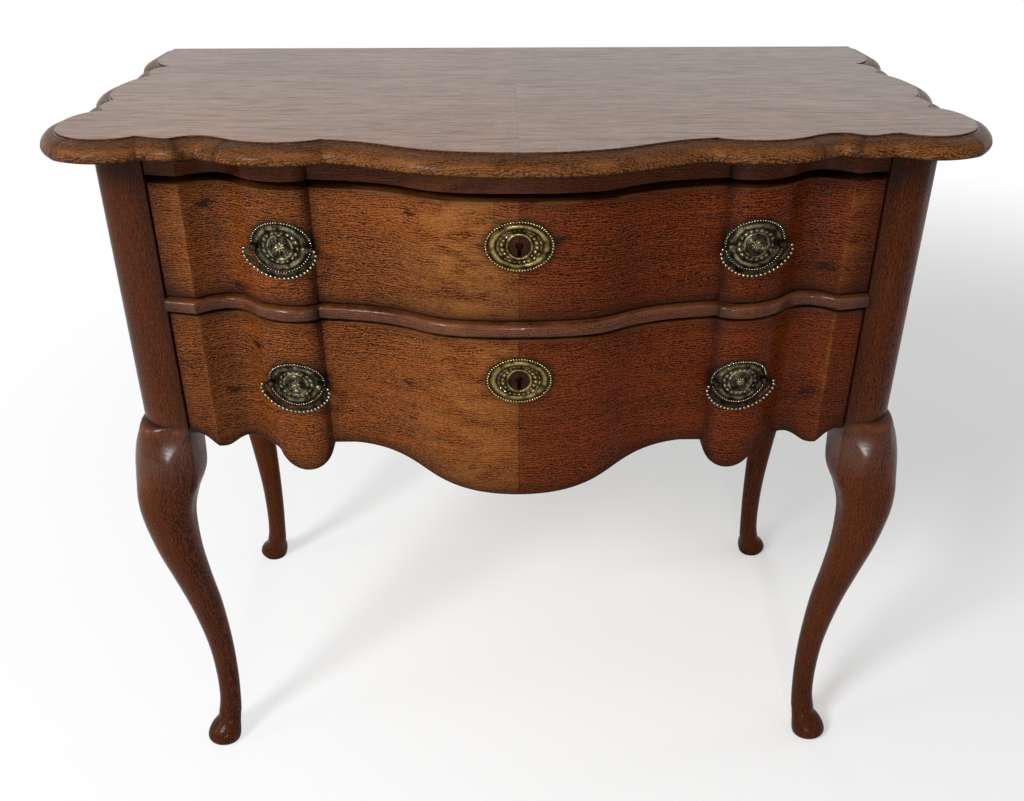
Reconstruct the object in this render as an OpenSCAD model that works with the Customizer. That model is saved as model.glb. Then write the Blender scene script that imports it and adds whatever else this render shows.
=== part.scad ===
// Serpentine commode chest with two drawers on cabriole legs.
// Millimetres, +Z up, front towards -Y, origin under the middle of the chest on the floor.

/* [Overall] */
// Height from the floor to the upper face of the top board
total_h = 775; // [750:1:820]
// How far the top board stands out beyond the posts at each side
side_overhang = 51; // [46:1:56]
// Depth over the moulding of the top board
top_d = 529; // [525:1:560]

/* [Top board] */
// Thickness of the top board
top_t = 18; // [16:1:24]
// Width of the moulding round the top board
mould_w = 19; // [17:0.5:21]
// Depth of the quirk between flat and moulding
quirk = 2; // [1:0.5:3]
// Bow of the flat of the top in front of the post faces
top_bow = 78; // [72:1:84]

/* [Case] */
// Width over the corner posts
case_w = 792; // [780:1:812]
// Distance from the back of the top to the back of the case
back_overhang = 25; // [22:1:35]
// Side of the square corner posts
post = 54; // [50:1:58]
// Radius of the rounded outer corner of a post
post_round = 38; // [20:1:42]
// Thickness of the side panels
side_t = 16; // [12:1:20]
// How far the side panels lie behind the post faces
side_inset = 5; // [3:1:8]
// Depth of the tongues and grooves that join panels, rails and posts
tongue = 8; // [5:1:10]
// Thickness of the back boards
back_t = 12; // [10:1:16]

/* [Rails and gaps] */
// Height of the rail under the top
top_rail_h = 22; // [18:1:28]
// Gap between the top rail and the upper drawer
top_gap = 7; // [3:0.5:9]
// Thickness of the rail between the drawers
lip_t = 13; // [11:1:16]
// How far the lip of that rail stands in front of the drawers
lip_out = 7; // [4:1:9]
// Gap between the middle rail and the lower drawer
low_gap = 4; // [2:0.5:6]
// How far the rails reach behind the post faces
rail_back = 52; // [46:1:60]
// Running gap of drawers on rails and runners
run_gap = 0.3; // [0.2:0.1:0.6]
// Gap at each end of a drawer front
end_gap = 1.2; // [0.8:0.1:2]
// Height of the drawer runners
runner_h = 22; // [18:1:26]

/* [Drawers] */
// Height of the upper drawer front
upper_front_h = 112.5; // [105:0.5:116]
// Height of the lower drawer front where it meets the posts
lower_front_h = 134; // [128:1:140]
// How far the apron hangs below that in the middle
apron_drop = 38; // [30:1:44]
// Thickness of a drawer front behind its bow
front_t = 27; // [24:1:32]
// Thickness of the drawer sides
drawer_side_t = 12; // [9:1:14]
// Thickness of the drawer backs
drawer_back_t = 12; // [9:1:14]
// Thickness of the drawer bottoms
bottom_t = 8; // [6:1:10]
// How far a drawer opens
drawer_travel = 250; // [200:10:280]

/* [Front curve] */
// Bow of the drawer fronts in front of the post faces
bow = 63; // [58:1:66]
// Distance of a cusp from the post beside it
cusp_in = 152; // [148:1:156]
// Distance of an outer arris from the post beside it
arris_in = 31; // [28:1:34]

/* [Handles] */
// Width of an upper handle plate
plate_w = 59; // [57:1:62]
// Height of an upper handle plate
plate_h = 50; // [46:1:52]
// Width of a lower handle plate
low_plate_w = 58; // [56:1:62]
// Height of a lower handle plate
low_plate_h = 46; // [44:1:52]
// Thickness of the pressed brass plates
plate_t = 1.2; // [1:0.1:2]
// Half distance between the two posts of a handle
handle_half = 25; // [22:0.5:27]
// How far a handle is turned in plan, to follow the lobe that it sits on
handle_tilt = 11; // [9:0.5:13]
// Diameter of a bail rod
bail_d = 4; // [3:0.1:4.4]
// Diameter of the pivot ends of a bail
pivot_d = 2.4; // [2:0.1:2.6]
// Radial clearance of a pivot in its post
pivot_gap = 0.1; // [0.05:0.01:0.1]
// Diameter of the shank of a handle post
shank_d = 5; // [4:0.5:6]

/* [Locks] */
// Width of an escutcheon
esc_w = 63; // [58:1:66]
// Height of an escutcheon
esc_h = 47; // [42:1:50]
// Diameter of the round opening in an escutcheon
esc_hole = 19; // [16:1:21]
// Height of a lock case
lock_h = 62; // [56:1:66]
// Width of a lock case
lock_w = 66; // [60:1:72]
// Thickness of a lock case
lock_t = 12; // [11:1:13]
// Travel of a lock bolt
bolt_travel = 12; // [11:0.5:12]

/* [Legs] */
// How far the knee swells beyond the post
knee_out = 17; // [13:1:20]
// Width of the ankle
ankle = 26; // [23:1:30]
// Width of the foot
foot = 41; // [37:1:44]
// How much wider apart the back feet stand
back_splay = 12; // [0:1:14]
// How much further back the back feet stand
back_reach = 25; // [10:1:26]

/* [Hidden] */
$fn = 48;

// Colours of the woods and metals
oak_top = "#8a6f5c";
oak_case = "#5c3018";
oak_front = "#6e3c1c";
oak_inside = "#b08a5e";
brass = "#6f6238";
iron = "#4a4744";

// Heights of the case, from the top downwards
under_z = total_h - top_t;
rail_z = under_z - top_rail_h;
upper_top_z = rail_z - top_gap;
seat_gap = 1.5;
mid_z = upper_top_z - upper_front_h - seat_gap;
mid_low_z = mid_z - lip_t;
lower_top_z = mid_low_z - low_gap;
apron_z = lower_top_z - lower_front_h;
shoulder_z = apron_z + 2;
bottom_rise = 9;
low_z = apron_z + bottom_rise;

// Places in plan: the post faces, the back of the case and the drawer opening
face_y = -top_d / 2 + mould_w + top_bow;
case_back_y = top_d / 2 - back_overhang;
half_case = case_w / 2;
half_open = half_case - post;
panel_x = half_case - side_inset - side_t;
half_front = half_open - end_gap;
top_w = case_w + 2 * side_overhang;
half_flat = top_w / 2 - mould_w;
cusp_x = half_open - cusp_in;
arris_x = half_open - arris_in;

// One cubic curve from p[0] to p[3], its last point left to the next curve
function curve(p, n) = [for (i = [0:n - 1]) curve_at(p, i / n)];
function curve_at(p, t) = pow(1 - t, 3) * p[0] + 3 * pow(1 - t, 2) * t * p[1]
  + 3 * (1 - t) * t * t * p[2] + pow(t, 3) * p[3];
function slope_at(p, t) = 3 * pow(1 - t, 2) * (p[1] - p[0]) + 6 * (1 - t) * t * (p[2] - p[1])
  + 3 * t * t * (p[3] - p[2]);
function unit(v) = v / max(norm(v), 0.000001);
function outward(v) = unit([v[1], -v[0]]);
function straight(a, b) = [a, a + (b - a) / 3, b - (b - a) / 3, b];
function flat_list(l) = [for (a = l) for (b = a) b];
function reversed(l) = [for (i = [len(l) - 1:-1:0]) l[i]];
function mirrored_x(l) = [for (p = reversed(l)) if (p[0] > 0.001) [-p[0], p[1]]];

// Plan curve of the drawer fronts, right half, measured from the post faces
curve_steps = 14;
cusp_y = -16;
arris_y = -5;
cove_x = arris_x - 53;
front_curves = [
  [[0, -bow], [cusp_x - 67.5, -bow], [cusp_x - 127, -31], [cusp_x, cusp_y]],
  [[cusp_x, cusp_y], [cusp_x + 3, cusp_y - 11], [cove_x - 26, -32], [cove_x, -3]],
  [[cove_x, -3], [cove_x + 8, 4], [arris_x - 30, 21.7], [arris_x, arris_y]]
];
front_half_line = concat(flat_list([for (c = front_curves) curve(c, curve_steps)]),
  [[arris_x, arris_y], [half_front, 2]]);

// Back of a drawer front: hollowed behind the bow, flat beyond it
back_y = 22;
hollow_x = cusp_x - 15;
back_half_line = concat(
  curve([[0, front_t - bow], [hollow_x * 0.54, front_t - bow], [hollow_x * 0.54, back_y], [hollow_x, back_y]], 10),
  [[hollow_x, back_y], [half_front, back_y]]);
lobe_x = cusp_x + 30;

// Depth of the front line at a distance x from the middle, relative to the post faces
function front_depth(x) = let (l = front_half_line, a = abs(x))
  [for (i = [0:len(l) - 2]) if (l[i][0] <= a && a <= l[i + 1][0] + 0.001)
    l[i][1] + (l[i + 1][1] - l[i][1]) * (a - l[i][0]) / max(l[i + 1][0] - l[i][0], 0.001)][0];

// Plan outline of the flat of the top board, right half, measured from the post faces
flat_front_x = half_flat - 6;
notch_x = half_flat - 29;
front_notch_y = 85;
front_notch_end = front_notch_y + 47;
back_notch_y = 258;
back_notch_end = back_notch_y + 56;
flat_back_y = top_d - mould_w - top_bow;
top_curves = [
  [[0, -top_bow], [cusp_x - 88, -top_bow], [cusp_x - 83, -40], [cusp_x - 17, -31]],
  [[cusp_x - 17, -31], [cusp_x, -43], [cusp_x + 35, -47], [cove_x - 3, -28]],
  [[cove_x - 3, -28], [cove_x + 9, -20.4], [arris_x - 27, -6], [arris_x - 7, -24]],
  [[arris_x - 7, -24], [arris_x + 3, -28], [arris_x + 11, -19.5], [arris_x + 27, -16.5]],
  [[arris_x + 27, -16.5], [arris_x + 41, -31], [half_flat - 50, -33], [half_flat - 32, -19]],
  [[half_flat - 32, -19], [half_flat - 16, -7], [flat_front_x - 1, 10], [flat_front_x, 34]],
  [[flat_front_x, 34], [flat_front_x + 1, 60], [flat_front_x - 7, 78], [notch_x, front_notch_y]],
  [[notch_x, front_notch_y], [notch_x + 10, front_notch_y + 7],
    [notch_x + 13, front_notch_end - 20], [notch_x + 6, front_notch_end]],
  [[notch_x + 6, front_notch_end], [notch_x + 19, front_notch_end + 18],
    [notch_x + 37, back_notch_y - 55], [notch_x + 7, back_notch_y]],
  [[notch_x + 7, back_notch_y], [notch_x + 14, back_notch_y + 12],
    [notch_x + 25, back_notch_end - 14], [notch_x + 1, back_notch_end]],
  [[notch_x + 1, back_notch_end], [notch_x + 14, back_notch_end + 4],
    [half_flat - 1, back_notch_end + 26], [half_flat, back_notch_end + 54]],
  straight([half_flat, back_notch_end + 54], [half_flat, flat_back_y])
];

// How wide the moulding is at the joints of these curves: it narrows round the front corners
mould_shares = [1, 1, 1, 1, 1.05, 1, 0.86, 0.9, 0.86, 0.9, 0.9, 1, 1];
function mould_share(k, t) = mould_shares[k] + (mould_shares[k + 1] - mould_shares[k]) * t
  - (k == 5 ? 0.6 * t * (1 - t) : 0);

// Each point of the flat outline with the direction in which its moulding runs out
fan = 34;
function fade(s) = let (b = max(0, 1 - s / fan)) b * b * (3 - 2 * b);
function end_dir(k) = k == 0 ? [0, -1]
  : k == len(top_curves) ? [1, 0]
  : unit(outward(slope_at(top_curves[k - 1], 1)) + outward(slope_at(top_curves[k], 0)));
function edge_dir(k, t) = let (c = top_curves[k], n = outward(slope_at(c, t)), s = norm(c[3] - c[0]))
  unit(n + (end_dir(k) - n) * fade(t * s) + (end_dir(k + 1) - n) * fade((1 - t) * s));
function edge_steps(k) = norm(top_curves[k][3] - top_curves[k][0]) > 90 ? 10 : 7;
top_half = concat(
  flat_list([for (k = [0:len(top_curves) - 1]) let (n = edge_steps(k))
    [for (i = [0:n - 1]) [curve_at(top_curves[k], i / n), edge_dir(k, i / n) * mould_share(k, i / n)]]]),
  [[[half_flat, flat_back_y], [1, 0]]]);
top_loop = concat([[[0, flat_back_y], [0, 0]]], reversed(top_half),
  [for (e = top_half) if (e[0][0] > 0.001) [[-e[0][0], e[0][1]], [-e[1][0], e[1][1]]]]);

// Moulding from the quirk over the nose to the under side: [share of its width, depth below the top]
mould_profile = [
  [0, 0], [0.01, quirk], [0.3, quirk + 0.5], [0.58, quirk + 2], [0.8, quirk + 4.6],
  [0.95, quirk + 8], [1, quirk + 11], [0.94, top_t - 2], [0.78, top_t]
];

module lofted(rings) {
  n = len(rings[0]);
  m = len(rings);
  polyhedron(
    points = flat_list(rings),
    faces = concat(
      [for (i = [1:n - 2]) [0, i, i + 1]],
      [for (k = [0:m - 2]) for (i = [0:n - 1]) let (j = (i + 1) % n)
        each [[k * n + i, (k + 1) * n + i, (k + 1) * n + j], [k * n + i, (k + 1) * n + j, k * n + j]]],
      [for (i = [1:n - 2]) [(m - 1) * n, (m - 1) * n + i + 1, (m - 1) * n + i]]),
    convexity = 10);
}

module top_board() color(oak_top)
  difference() {
    translate([0, face_y, 0])
      lofted([for (r = mould_profile) [for (e = top_loop)
        let (p = e[0] + e[1] * mould_w * r[0]) [p[0], p[1], total_h - r[1]]]]);
    top_screws();
  }

// Cabriole leg: how the sides of its section run, from the shoulder to the floor.
// [height share, outer side beyond the post face, inner side beyond the inner post face]
shoulder = shoulder_z;
leg_line = [
  [1.009, -2, 1, 0.6, 0.05, 0.03],
  [1, 3, 0, 0.6, 0.06, 0.03],
  [0.985, 7, 0, 0.58, 0.08, 0.04],
  [0.93, knee_out - 4.5, 0, 0.52, 0.16, 0.12],
  [0.86, knee_out - 1, 1, 0.5, 0.26, 0.19],
  [0.81, knee_out, 9.5, 0.5, 0.34, 0.26],
  [0.755, knee_out - 2, 15, 0.5, 0.4, 0.33],
  [0.66, knee_out - 9, 15.5, 0.5, 0.45, 0.4],
  [0.56, knee_out - 19, 12.5, 0.5, 0.48, 0.44],
  [0.45, knee_out - 29, 7.5, 0.5, 0.5, 0.48],
  [0.32, knee_out - 37.5, post - ankle - 23, 0.5, 0.5, 0.5],
  [0.215, knee_out - 40, post - ankle - 23, 0.5, 0.5, 0.5],
  [0.13, knee_out - 39, post - ankle - 21.5, 0.5, 0.5, 0.5],
  [0.078, knee_out - 35, post - ankle - 20, 0.5, 0.5, 0.5]
];
leg_steps = 2;
corner_steps = 6;
function mixed(a, b, c, d, t) = 0.5 * ((2 * b) + (c - a) * t + (2 * a - 5 * b + 4 * c - d) * t * t
  + (3 * b - a - 3 * c + d) * t * t * t);
function leg_row(i) = leg_line[max(0, min(len(leg_line) - 1, i))];
leg_rows = concat(
  flat_list([for (i = [0:len(leg_line) - 2]) [for (s = [0:leg_steps - 1])
    mixed(leg_row(i - 1), leg_row(i), leg_row(i + 1), leg_row(i + 2), s / leg_steps)]]),
  [leg_row(len(leg_line) - 1)]);

// Pad foot: rounded slices that swell towards the toe, [height, share of the foot width]
foot_slices = [[30, 0.72], [27, 0.86], [21, 0.97], [14, 1], [8, 0.96], [3, 0.86], [0, 0.7]];
foot_lead = 8.5;

// Section of the leg in its own corner frame: the outer corner is at +u +v
function corner_arc(c, r, a0) = [for (s = [0:corner_steps]) let (a = a0 + 90 * s / corner_steps)
  c + r * [cos(a), sin(a)]];
function leg_section(lo, hi, ro, rs, ri) = let (w = hi - lo) concat(
  corner_arc([hi - ro * w, hi - ro * w], ro * w, 0),
  corner_arc([lo + rs * w, hi - rs * w], rs * w, 90),
  corner_arc([lo + ri * w, lo + ri * w], ri * w, 180),
  corner_arc([hi - rs * w, lo + rs * w], rs * w, 270));

// Splay moves the lower part of a back leg out and back, growing from the knee to the foot
function splayed(z, splay) = splay * pow(max(0, 1 - z / (shoulder * 0.8)), 0.8);
function foot_centre() = let (r = leg_line[len(leg_line) - 1]) (post + r[1] + r[2]) / 2 + foot_lead;
module cabriole(splay) {
  rings = concat(
    [for (r = leg_rows) let (d = splayed(r[0] * shoulder, splay))
      [for (p = leg_section(max(0, r[2]), post + r[1], r[3], r[4], r[5]))
        [p[0] + d[0], p[1] + d[1], r[0] * shoulder]]],
    [for (f = foot_slices) let (h = foot * f[1] / 2, c = foot_centre() - (1 - f[1]) * 9, d = splayed(f[0], splay))
      [for (p = leg_section(c - h, c + h, 0.5, 0.46, 0.5)) [p[0] + d[0], p[1] + d[1], f[0]]]]);
  lofted([for (ring = rings) reversed(ring)]);
}

module scale_signs(sx, sy) mirror([sx < 0 ? 1 : 0, 0, 0]) mirror([0, sy < 0 ? 1 : 0, 0]) children();

// A corner post, square with its outer corner well rounded
module post_block()
  translate([0, 0, shoulder])
    linear_extrude(under_z - shoulder)
      intersection() {
        square([post, post]);
        union() {
          square([post - post_round, post]);
          square([post, post - post_round]);
          translate([post - post_round, post - post_round]) circle(r = post_round, $fn = 96);
        }
      }

// Groove of the side panel and, in the front posts, the mortises of the three rails
side_low = low_z - runner_h - 12;
side_rise = 10;
tenon_front = 14;
module post_cuts(at_back) {
  translate([post - side_inset - side_t, -1, side_low])
    cube([side_t, tongue + 1, under_z - side_low + 1]);
  if (at_back)
    translate([-1, post - back_t, shoulder])
      cube([tongue + 1, back_t + 1, under_z - shoulder + 1]);
  if (!at_back) {
    translate([-1, post - rail_back, rail_z]) cube([tongue + 1, rail_back - tenon_front, top_rail_h + 1]);
    translate([-1, post - rail_back, mid_low_z]) cube([tongue + 1, rail_back - tenon_front, lip_t]);
    translate([-1, -1, low_z - runner_h])
      cube([tongue + 1, post - back_y - 12 + 1, runner_h]);
  }
}

// One piece from the top board to the floor: u runs outwards to the side, v to the front or back
module leg(side, at_back) color(oak_case)
  difference() {
    translate([side * half_open, at_back ? case_back_y - post : face_y + post, 0])
      scale_signs(side, at_back ? 1 : -1)
        difference() {
          union() {
            post_block();
            cabriole(at_back ? [back_splay, back_reach] : [0, 0]);
          }
          post_cuts(at_back);
        }
    if (at_back) back_nails();
  }
module leg_front_left() leg(-1, false);
module leg_front_right() leg(1, false);
module leg_back_left() leg(-1, true);
module leg_back_right() leg(1, true);

// Side panels between the posts, their lower edge rising in two ogees
panel_front_y = face_y + post;
panel_back_y = case_back_y - post;
function panel_outline() =
  let (a = panel_front_y - tongue, b = panel_back_y + tongue, run = 80,
    ogee = curve([[0, 0], [run * 0.5, 0], [run * 0.5, side_rise], [run, side_rise]], 10))
  concat([[a, under_z], [a, side_low]],
    [for (p = ogee) [panel_front_y + p[0], side_low + p[1]]],
    [for (p = reversed(ogee)) [panel_back_y - p[0], side_low + p[1]]],
    [[b, side_low], [b, under_z]]);
module side_panel(side) color(oak_case)
  scale_signs(side, 1)
    translate([panel_x + side_t, 0, 0])
      rotate([90, 0, -90])
        linear_extrude(side_t)
          polygon([for (p = panel_outline()) [-p[0], p[1]]]);
module side_panel_left() side_panel(-1);
module side_panel_right() side_panel(1);

// Two boards close the back, let into the back posts and nailed
back_split_z = (shoulder + under_z) / 2;
back_front_y = case_back_y - back_t;
module back_board(z0, z1) color(oak_inside)
  difference() {
    translate([-half_open - tongue, back_front_y, z0])
      cube([2 * (half_open + tongue), back_t, z1 - z0]);
    back_nails();
  }
module back_board_upper() back_board(back_split_z, under_z);
module back_board_lower() back_board(shoulder, back_split_z);
nail_zs = [shoulder + 25, back_split_z - 25, back_split_z + 25, under_z - 25];
module back_nails() color(iron)
  for (s = [-1, 1]) for (z = nail_zs)
    translate([s * (half_open + tongue / 2), case_back_y, z])
      rotate([90, 0, 0]) {
        cylinder(d = 5, h = 1.2, $fn = 24);
        cylinder(d = 2.4, h = back_t + 14, $fn = 24);
      }

// Rails across the front, cut to the curve of the drawers
function full_line(half) = concat(mirrored_x(half), half);
function shifted(l, dx, dy) = [for (p = l) [p[0] + dx, p[1] + dy]];
rail_half_line = concat([for (p = front_half_line) if (p[0] <= arris_x) p], [[half_open, 2]]);
module rail_plan(out, back)
  translate([0, face_y])
    polygon(concat(shifted(full_line(rail_half_line), 0, -out),
      [[half_open, back], [-half_open, back]]));
module rail_tenons(z, h)
  for (s = [-1, 1])
    translate([s > 0 ? half_open - 0.5 : -half_open - tongue, face_y + tenon_front, z])
      cube([tongue + 0.5, rail_back - tenon_front, h]);

// Lock bolts, and the mortises they enter in the rail above
bolt_w = 22;
bolt_t = 5;
bolt_len = 30;
bolt_gap = 0.4;
lock_y = front_t - bow - lock_t;
bolt_y = lock_y + lock_t / 2;
module bolt_mortise(z, h)
  translate([-bolt_w / 2 - 1.5, face_y + bolt_y - bolt_t / 2 - 1.5, z - 1])
    cube([bolt_w + 3, bolt_t + 3, h + 1]);

module top_rail() color(oak_case)
  difference() {
    union() {
      translate([0, 0, rail_z]) linear_extrude(top_rail_h) rail_plan(0, rail_back);
      rail_tenons(rail_z, top_rail_h);
    }
    bolt_mortise(rail_z, bolt_travel - top_gap + 3);
    top_screws();
  }

// The middle rail ends in a thin lip, its edges eased in steps
lip_edge = 1.6;
module middle_rail() color(oak_case)
  difference() {
    union() {
      translate([0, 0, mid_low_z + 2 * lip_edge])
        linear_extrude(lip_t - 4 * lip_edge) rail_plan(lip_out, rail_back);
      translate([0, 0, mid_low_z + lip_edge])
        linear_extrude(lip_t - 2 * lip_edge) rail_plan(lip_out - 0.6, rail_back);
      translate([0, 0, mid_low_z]) linear_extrude(lip_t) rail_plan(lip_out - 2, rail_back);
      rail_tenons(mid_low_z, lip_t);
    }
    bolt_mortise(mid_low_z, bolt_travel - low_gap + 2);
  }

// The bottom rail lies behind the apron of the lower drawer
bottom_rail_y = face_y + back_y + 0.5;
module bottom_rail() color(oak_inside) {
  translate([-half_open, bottom_rail_y, low_z - runner_h])
    cube([2 * half_open, panel_front_y - bottom_rail_y, runner_h]);
  for (s = [-1, 1])
    translate([s > 0 ? half_open - 0.5 : -half_open - tongue, face_y + back_y + 12, low_z - runner_h])
      cube([tongue + 0.5, panel_front_y - face_y - back_y - 12, runner_h]);
}

// Runners, guides and kickers along both sides of the case
runner_in = 24;
rail_back_y = face_y + rail_back;
module runner_plan(front_y)
  polygon([[half_open - runner_in, front_y], [half_open, front_y], [half_open, panel_front_y],
    [panel_x, panel_front_y], [panel_x, panel_back_y], [half_open, panel_back_y],
    [half_open, back_front_y], [half_open - runner_in, back_front_y]]);
module runner(side, z_top, h, front_y) color(oak_inside)
  scale_signs(side, 1) translate([0, 0, z_top - h]) linear_extrude(h) runner_plan(front_y);
module runner_upper_left() runner(-1, mid_z, runner_h, rail_back_y);
module runner_upper_right() runner(1, mid_z, runner_h, rail_back_y);
module runner_lower_left() runner(-1, low_z, runner_h, panel_front_y);
module runner_lower_right() runner(1, low_z, runner_h, panel_front_y);
guide_h = 24;
module guide(side, z) color(oak_inside)
  scale_signs(side, 1)
    translate([half_open, panel_front_y, z])
      cube([panel_x - half_open, panel_back_y - panel_front_y, guide_h]);
module guide_upper_left() guide(-1, mid_z);
module guide_upper_right() guide(1, mid_z);
module guide_lower_left() guide(-1, low_z);
module guide_lower_right() guide(1, low_z);
kicker_h = under_z - upper_top_z - 2;
module kicker(side) color(oak_inside)
  difference() {
    runner(side, under_z, kicker_h, rail_back_y);
    top_screws();
  }
module kicker_left() kicker(-1);
module kicker_right() kicker(1);

// Six wood screws draw the top down on rail and kickers
screw_x = cusp_x + 50;
screw_back = 30;
screw_end = 60;
screw_beside = 14;
screw_head = 9;
screw_d = 4;
screw_bite = 11;
screw_spots = concat([for (s = [-1, 1]) [s * screw_x, face_y + screw_back, rail_z]],
  [for (s = [-1, 1]) for (y = [panel_front_y + screw_end, panel_back_y - screw_end])
    [s * (half_open + screw_beside), y, under_z - kicker_h]]);
module top_screws() color(iron)
  for (p = screw_spots)
    translate([p[0], p[1], p[2]]) {
      cylinder(d1 = screw_head, d2 = screw_d, h = screw_head / 3, $fn = 24);
      cylinder(d = screw_d, h = under_z + screw_bite - p[2], $fn = 24);
    }

// Blocks glued in the corner of top and back, and stops glued on the rails
block_x = cusp_x + 30;
block_w = 60;
block_leg = 18;
module glue_blocks() color(oak_inside)
  for (x = [-block_x, 0, block_x])
    translate([x - block_w / 2, back_front_y, under_z])
      rotate([90, 0, 90])
        linear_extrude(block_w) polygon([[0, 0], [-block_leg, 0], [0, -block_leg]]);
stop_x = cusp_x + 60;
stop_w = 40;
stop_d = 18;
stop_h = 5;
stop_gap = 0.5;
module drawer_stops() color(oak_inside)
  for (s = [-1, 1]) for (z = [mid_z, low_z])
    translate([s * stop_x - stop_w / 2, face_y + back_y + stop_gap, z]) cube([stop_w, stop_d, stop_h]);

// Drawers: a thick shaped front, two dovetailed sides, a back housed in the sides
// and a bottom that slides in grooves
side_x = half_open - 2;
drawer_end_y = case_back_y - back_t - 14;
side_front_y = face_y + back_y;
groove_in = 6;
bottom_up = 6;
upper_front_z = upper_top_z - upper_front_h;
upper_seat_z = mid_z + run_gap;
lower_seat_z = low_z + run_gap;
upper_side_top = upper_top_z - 1;
lower_side_top = lower_top_z - 9;

module front_plan()
  translate([0, face_y])
    polygon(concat(full_line(front_half_line), reversed(full_line(back_half_line))));
module bottom_plan(half)
  translate([0, face_y])
    polygon(concat(
      [[-half, back_y - groove_in]],
      shifted(full_line([for (p = back_half_line) if (p[0] <= hollow_x) p]), 0, -groove_in),
      [[half, back_y - groove_in], [half, drawer_end_y - face_y], [-half, drawer_end_y - face_y]]));
module drawer_bottom_solid(seat)
  translate([0, 0, seat + bottom_up])
    linear_extrude(bottom_t) bottom_plan(side_x - drawer_side_t + groove_in);

// Dovetails: wide at their ends, in the back edge of the front
tail_l = 13;
tails = 3;
module tail_row(z0, z1, more)
  for (i = [0:tails - 1]) let (pitch = (z1 - z0) / tails, zc = z0 + (i + 0.5) * pitch, w = pitch * 0.27)
    translate([side_x - drawer_side_t, side_front_y, zc])
      rotate([90, 0, 90])
        linear_extrude(drawer_side_t + more)
          polygon([[0.01, -w], [-tail_l, -w - 3], [-tail_l, w + 3], [0.01, w]]);
module drawer_side(side, seat, top) color(oak_inside)
  scale_signs(side, 1)
    difference() {
      union() {
        translate([side_x - drawer_side_t, side_front_y, seat])
          cube([drawer_side_t, drawer_end_y - side_front_y, top - seat]);
        tail_row(seat + bottom_up + bottom_t, top, 0);
      }
      drawer_bottom_solid(seat);
      drawer_back_solid(seat, top);
    }
module drawer_back_solid(seat, top)
  translate([-side_x + drawer_side_t - groove_in, drawer_end_y - 8 - drawer_back_t, seat + bottom_up + bottom_t])
    cube([2 * (side_x - drawer_side_t + groove_in), drawer_back_t, top - seat - bottom_up - bottom_t]);
module front_joints(seat, top) {
  for (s = [-1, 1]) scale_signs(s, 1) tail_row(seat + bottom_up + bottom_t, top, 5);
  drawer_bottom_solid(seat);
}
module upper_drawer_side_left() drawer_side(-1, upper_seat_z, upper_side_top);
module upper_drawer_side_right() drawer_side(1, upper_seat_z, upper_side_top);
module lower_drawer_side_left() drawer_side(-1, lower_seat_z, lower_side_top);
module lower_drawer_side_right() drawer_side(1, lower_seat_z, lower_side_top);
module upper_drawer_back() color(oak_inside) drawer_back_solid(upper_seat_z, upper_side_top);
module lower_drawer_back() color(oak_inside) drawer_back_solid(lower_seat_z, lower_side_top);
module upper_drawer_bottom() color(oak_inside) drawer_bottom_solid(upper_seat_z);
module lower_drawer_bottom() color(oak_inside) drawer_bottom_solid(lower_seat_z);

// Hardware heights, and the plan line about which a bail turns
upper_handle_z = upper_top_z - 54;
lower_handle_z = lower_top_z - 65;
upper_key_z = upper_top_z - 40;
lower_key_z = lower_top_z - 42;
handle_out = 26.5;
handle_y = face_y - handle_out;
function post_x(h) = lobe_x + h * handle_half * cos(handle_tilt);
function post_out(h) = handle_out - h * handle_half * sin(handle_tilt);
nut_w = 10;
nut_t = 4;

// Holes that a drawer front takes: lock recess, keyhole, lock screws and handle shanks
module lock_recess(top)
  translate([-lock_w / 2, face_y + lock_y, top - lock_h]) cube([lock_w, 60, lock_h + 1]);
module keyhole(key_z, depth)
  translate([0, face_y + lock_y + depth, key_z])
    rotate([90, 0, 0])
      linear_extrude(60)
        union() {
          circle(d = 7, $fn = 32);
          translate([-1.8, -12]) square([3.6, 12]);
        }
module shanks(z)
  for (s = [-1, 1]) for (h = [-1, 1])
    translate([s * post_x(h), face_y - post_out(h) + 3, z])
      rotate([-90, 0, 0]) cylinder(d = shank_d, h = back_y + post_out(h) + 5);
module front_cuts(top, key_z, handle_z, seat, side_top) {
  lock_recess(top);
  keyhole(key_z, 1);
  lock_screws(top);
  shanks(handle_z);
  front_joints(seat, side_top);
  escutcheon_pins(key_z);
}
module upper_drawer_front() color(oak_front)
  difference() {
    translate([0, 0, upper_front_z]) linear_extrude(upper_front_h) front_plan();
    front_cuts(upper_top_z, upper_key_z, upper_handle_z, upper_seat_z, upper_side_top);
  }

// Lower edge of the lower front: a broad drop in the middle and a shell under each handle
drop = apron_drop / 38;
apron_half = concat(
  curve([[0, -38], [cusp_x - 105, -38], [cusp_x - 95, -2], [cusp_x - 25, -1]], 12),
  [[cusp_x - 25, -1]],
  curve([[cusp_x - 1, -3], [cusp_x + 1, -38], [cusp_x + 46, -40], [cusp_x + 55, -13]], 12),
  curve([[cusp_x + 55, -13], [cusp_x + 59, -8], [cusp_x + 66, -8], [cusp_x + 82, -8]], 5),
  curve([[cusp_x + 82, -8], [arris_x - 21, -5], [arris_x - 15, -17], [arris_x - 7, -16]], 7),
  curve([[arris_x - 7, -16], [arris_x + 5, -14], [arris_x + 9, 0], [half_open - 8, 0]], 7),
  [[half_open - 8, 0], [half_open, 0]]);
apron_line = [for (p = full_line(apron_half)) [p[0], apron_z + p[1] * drop]];
module lower_front_blank()
  intersection() {
    translate([0, 0, apron_z - apron_drop - 6])
      linear_extrude(lower_top_z - apron_z + apron_drop + 6) front_plan();
    translate([0, face_y + 40, 0])
      rotate([90, 0, 0])
        linear_extrude(140)
          polygon(concat(apron_line, [[half_open, lower_top_z + 5], [-half_open, lower_top_z + 5]]));
  }
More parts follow.
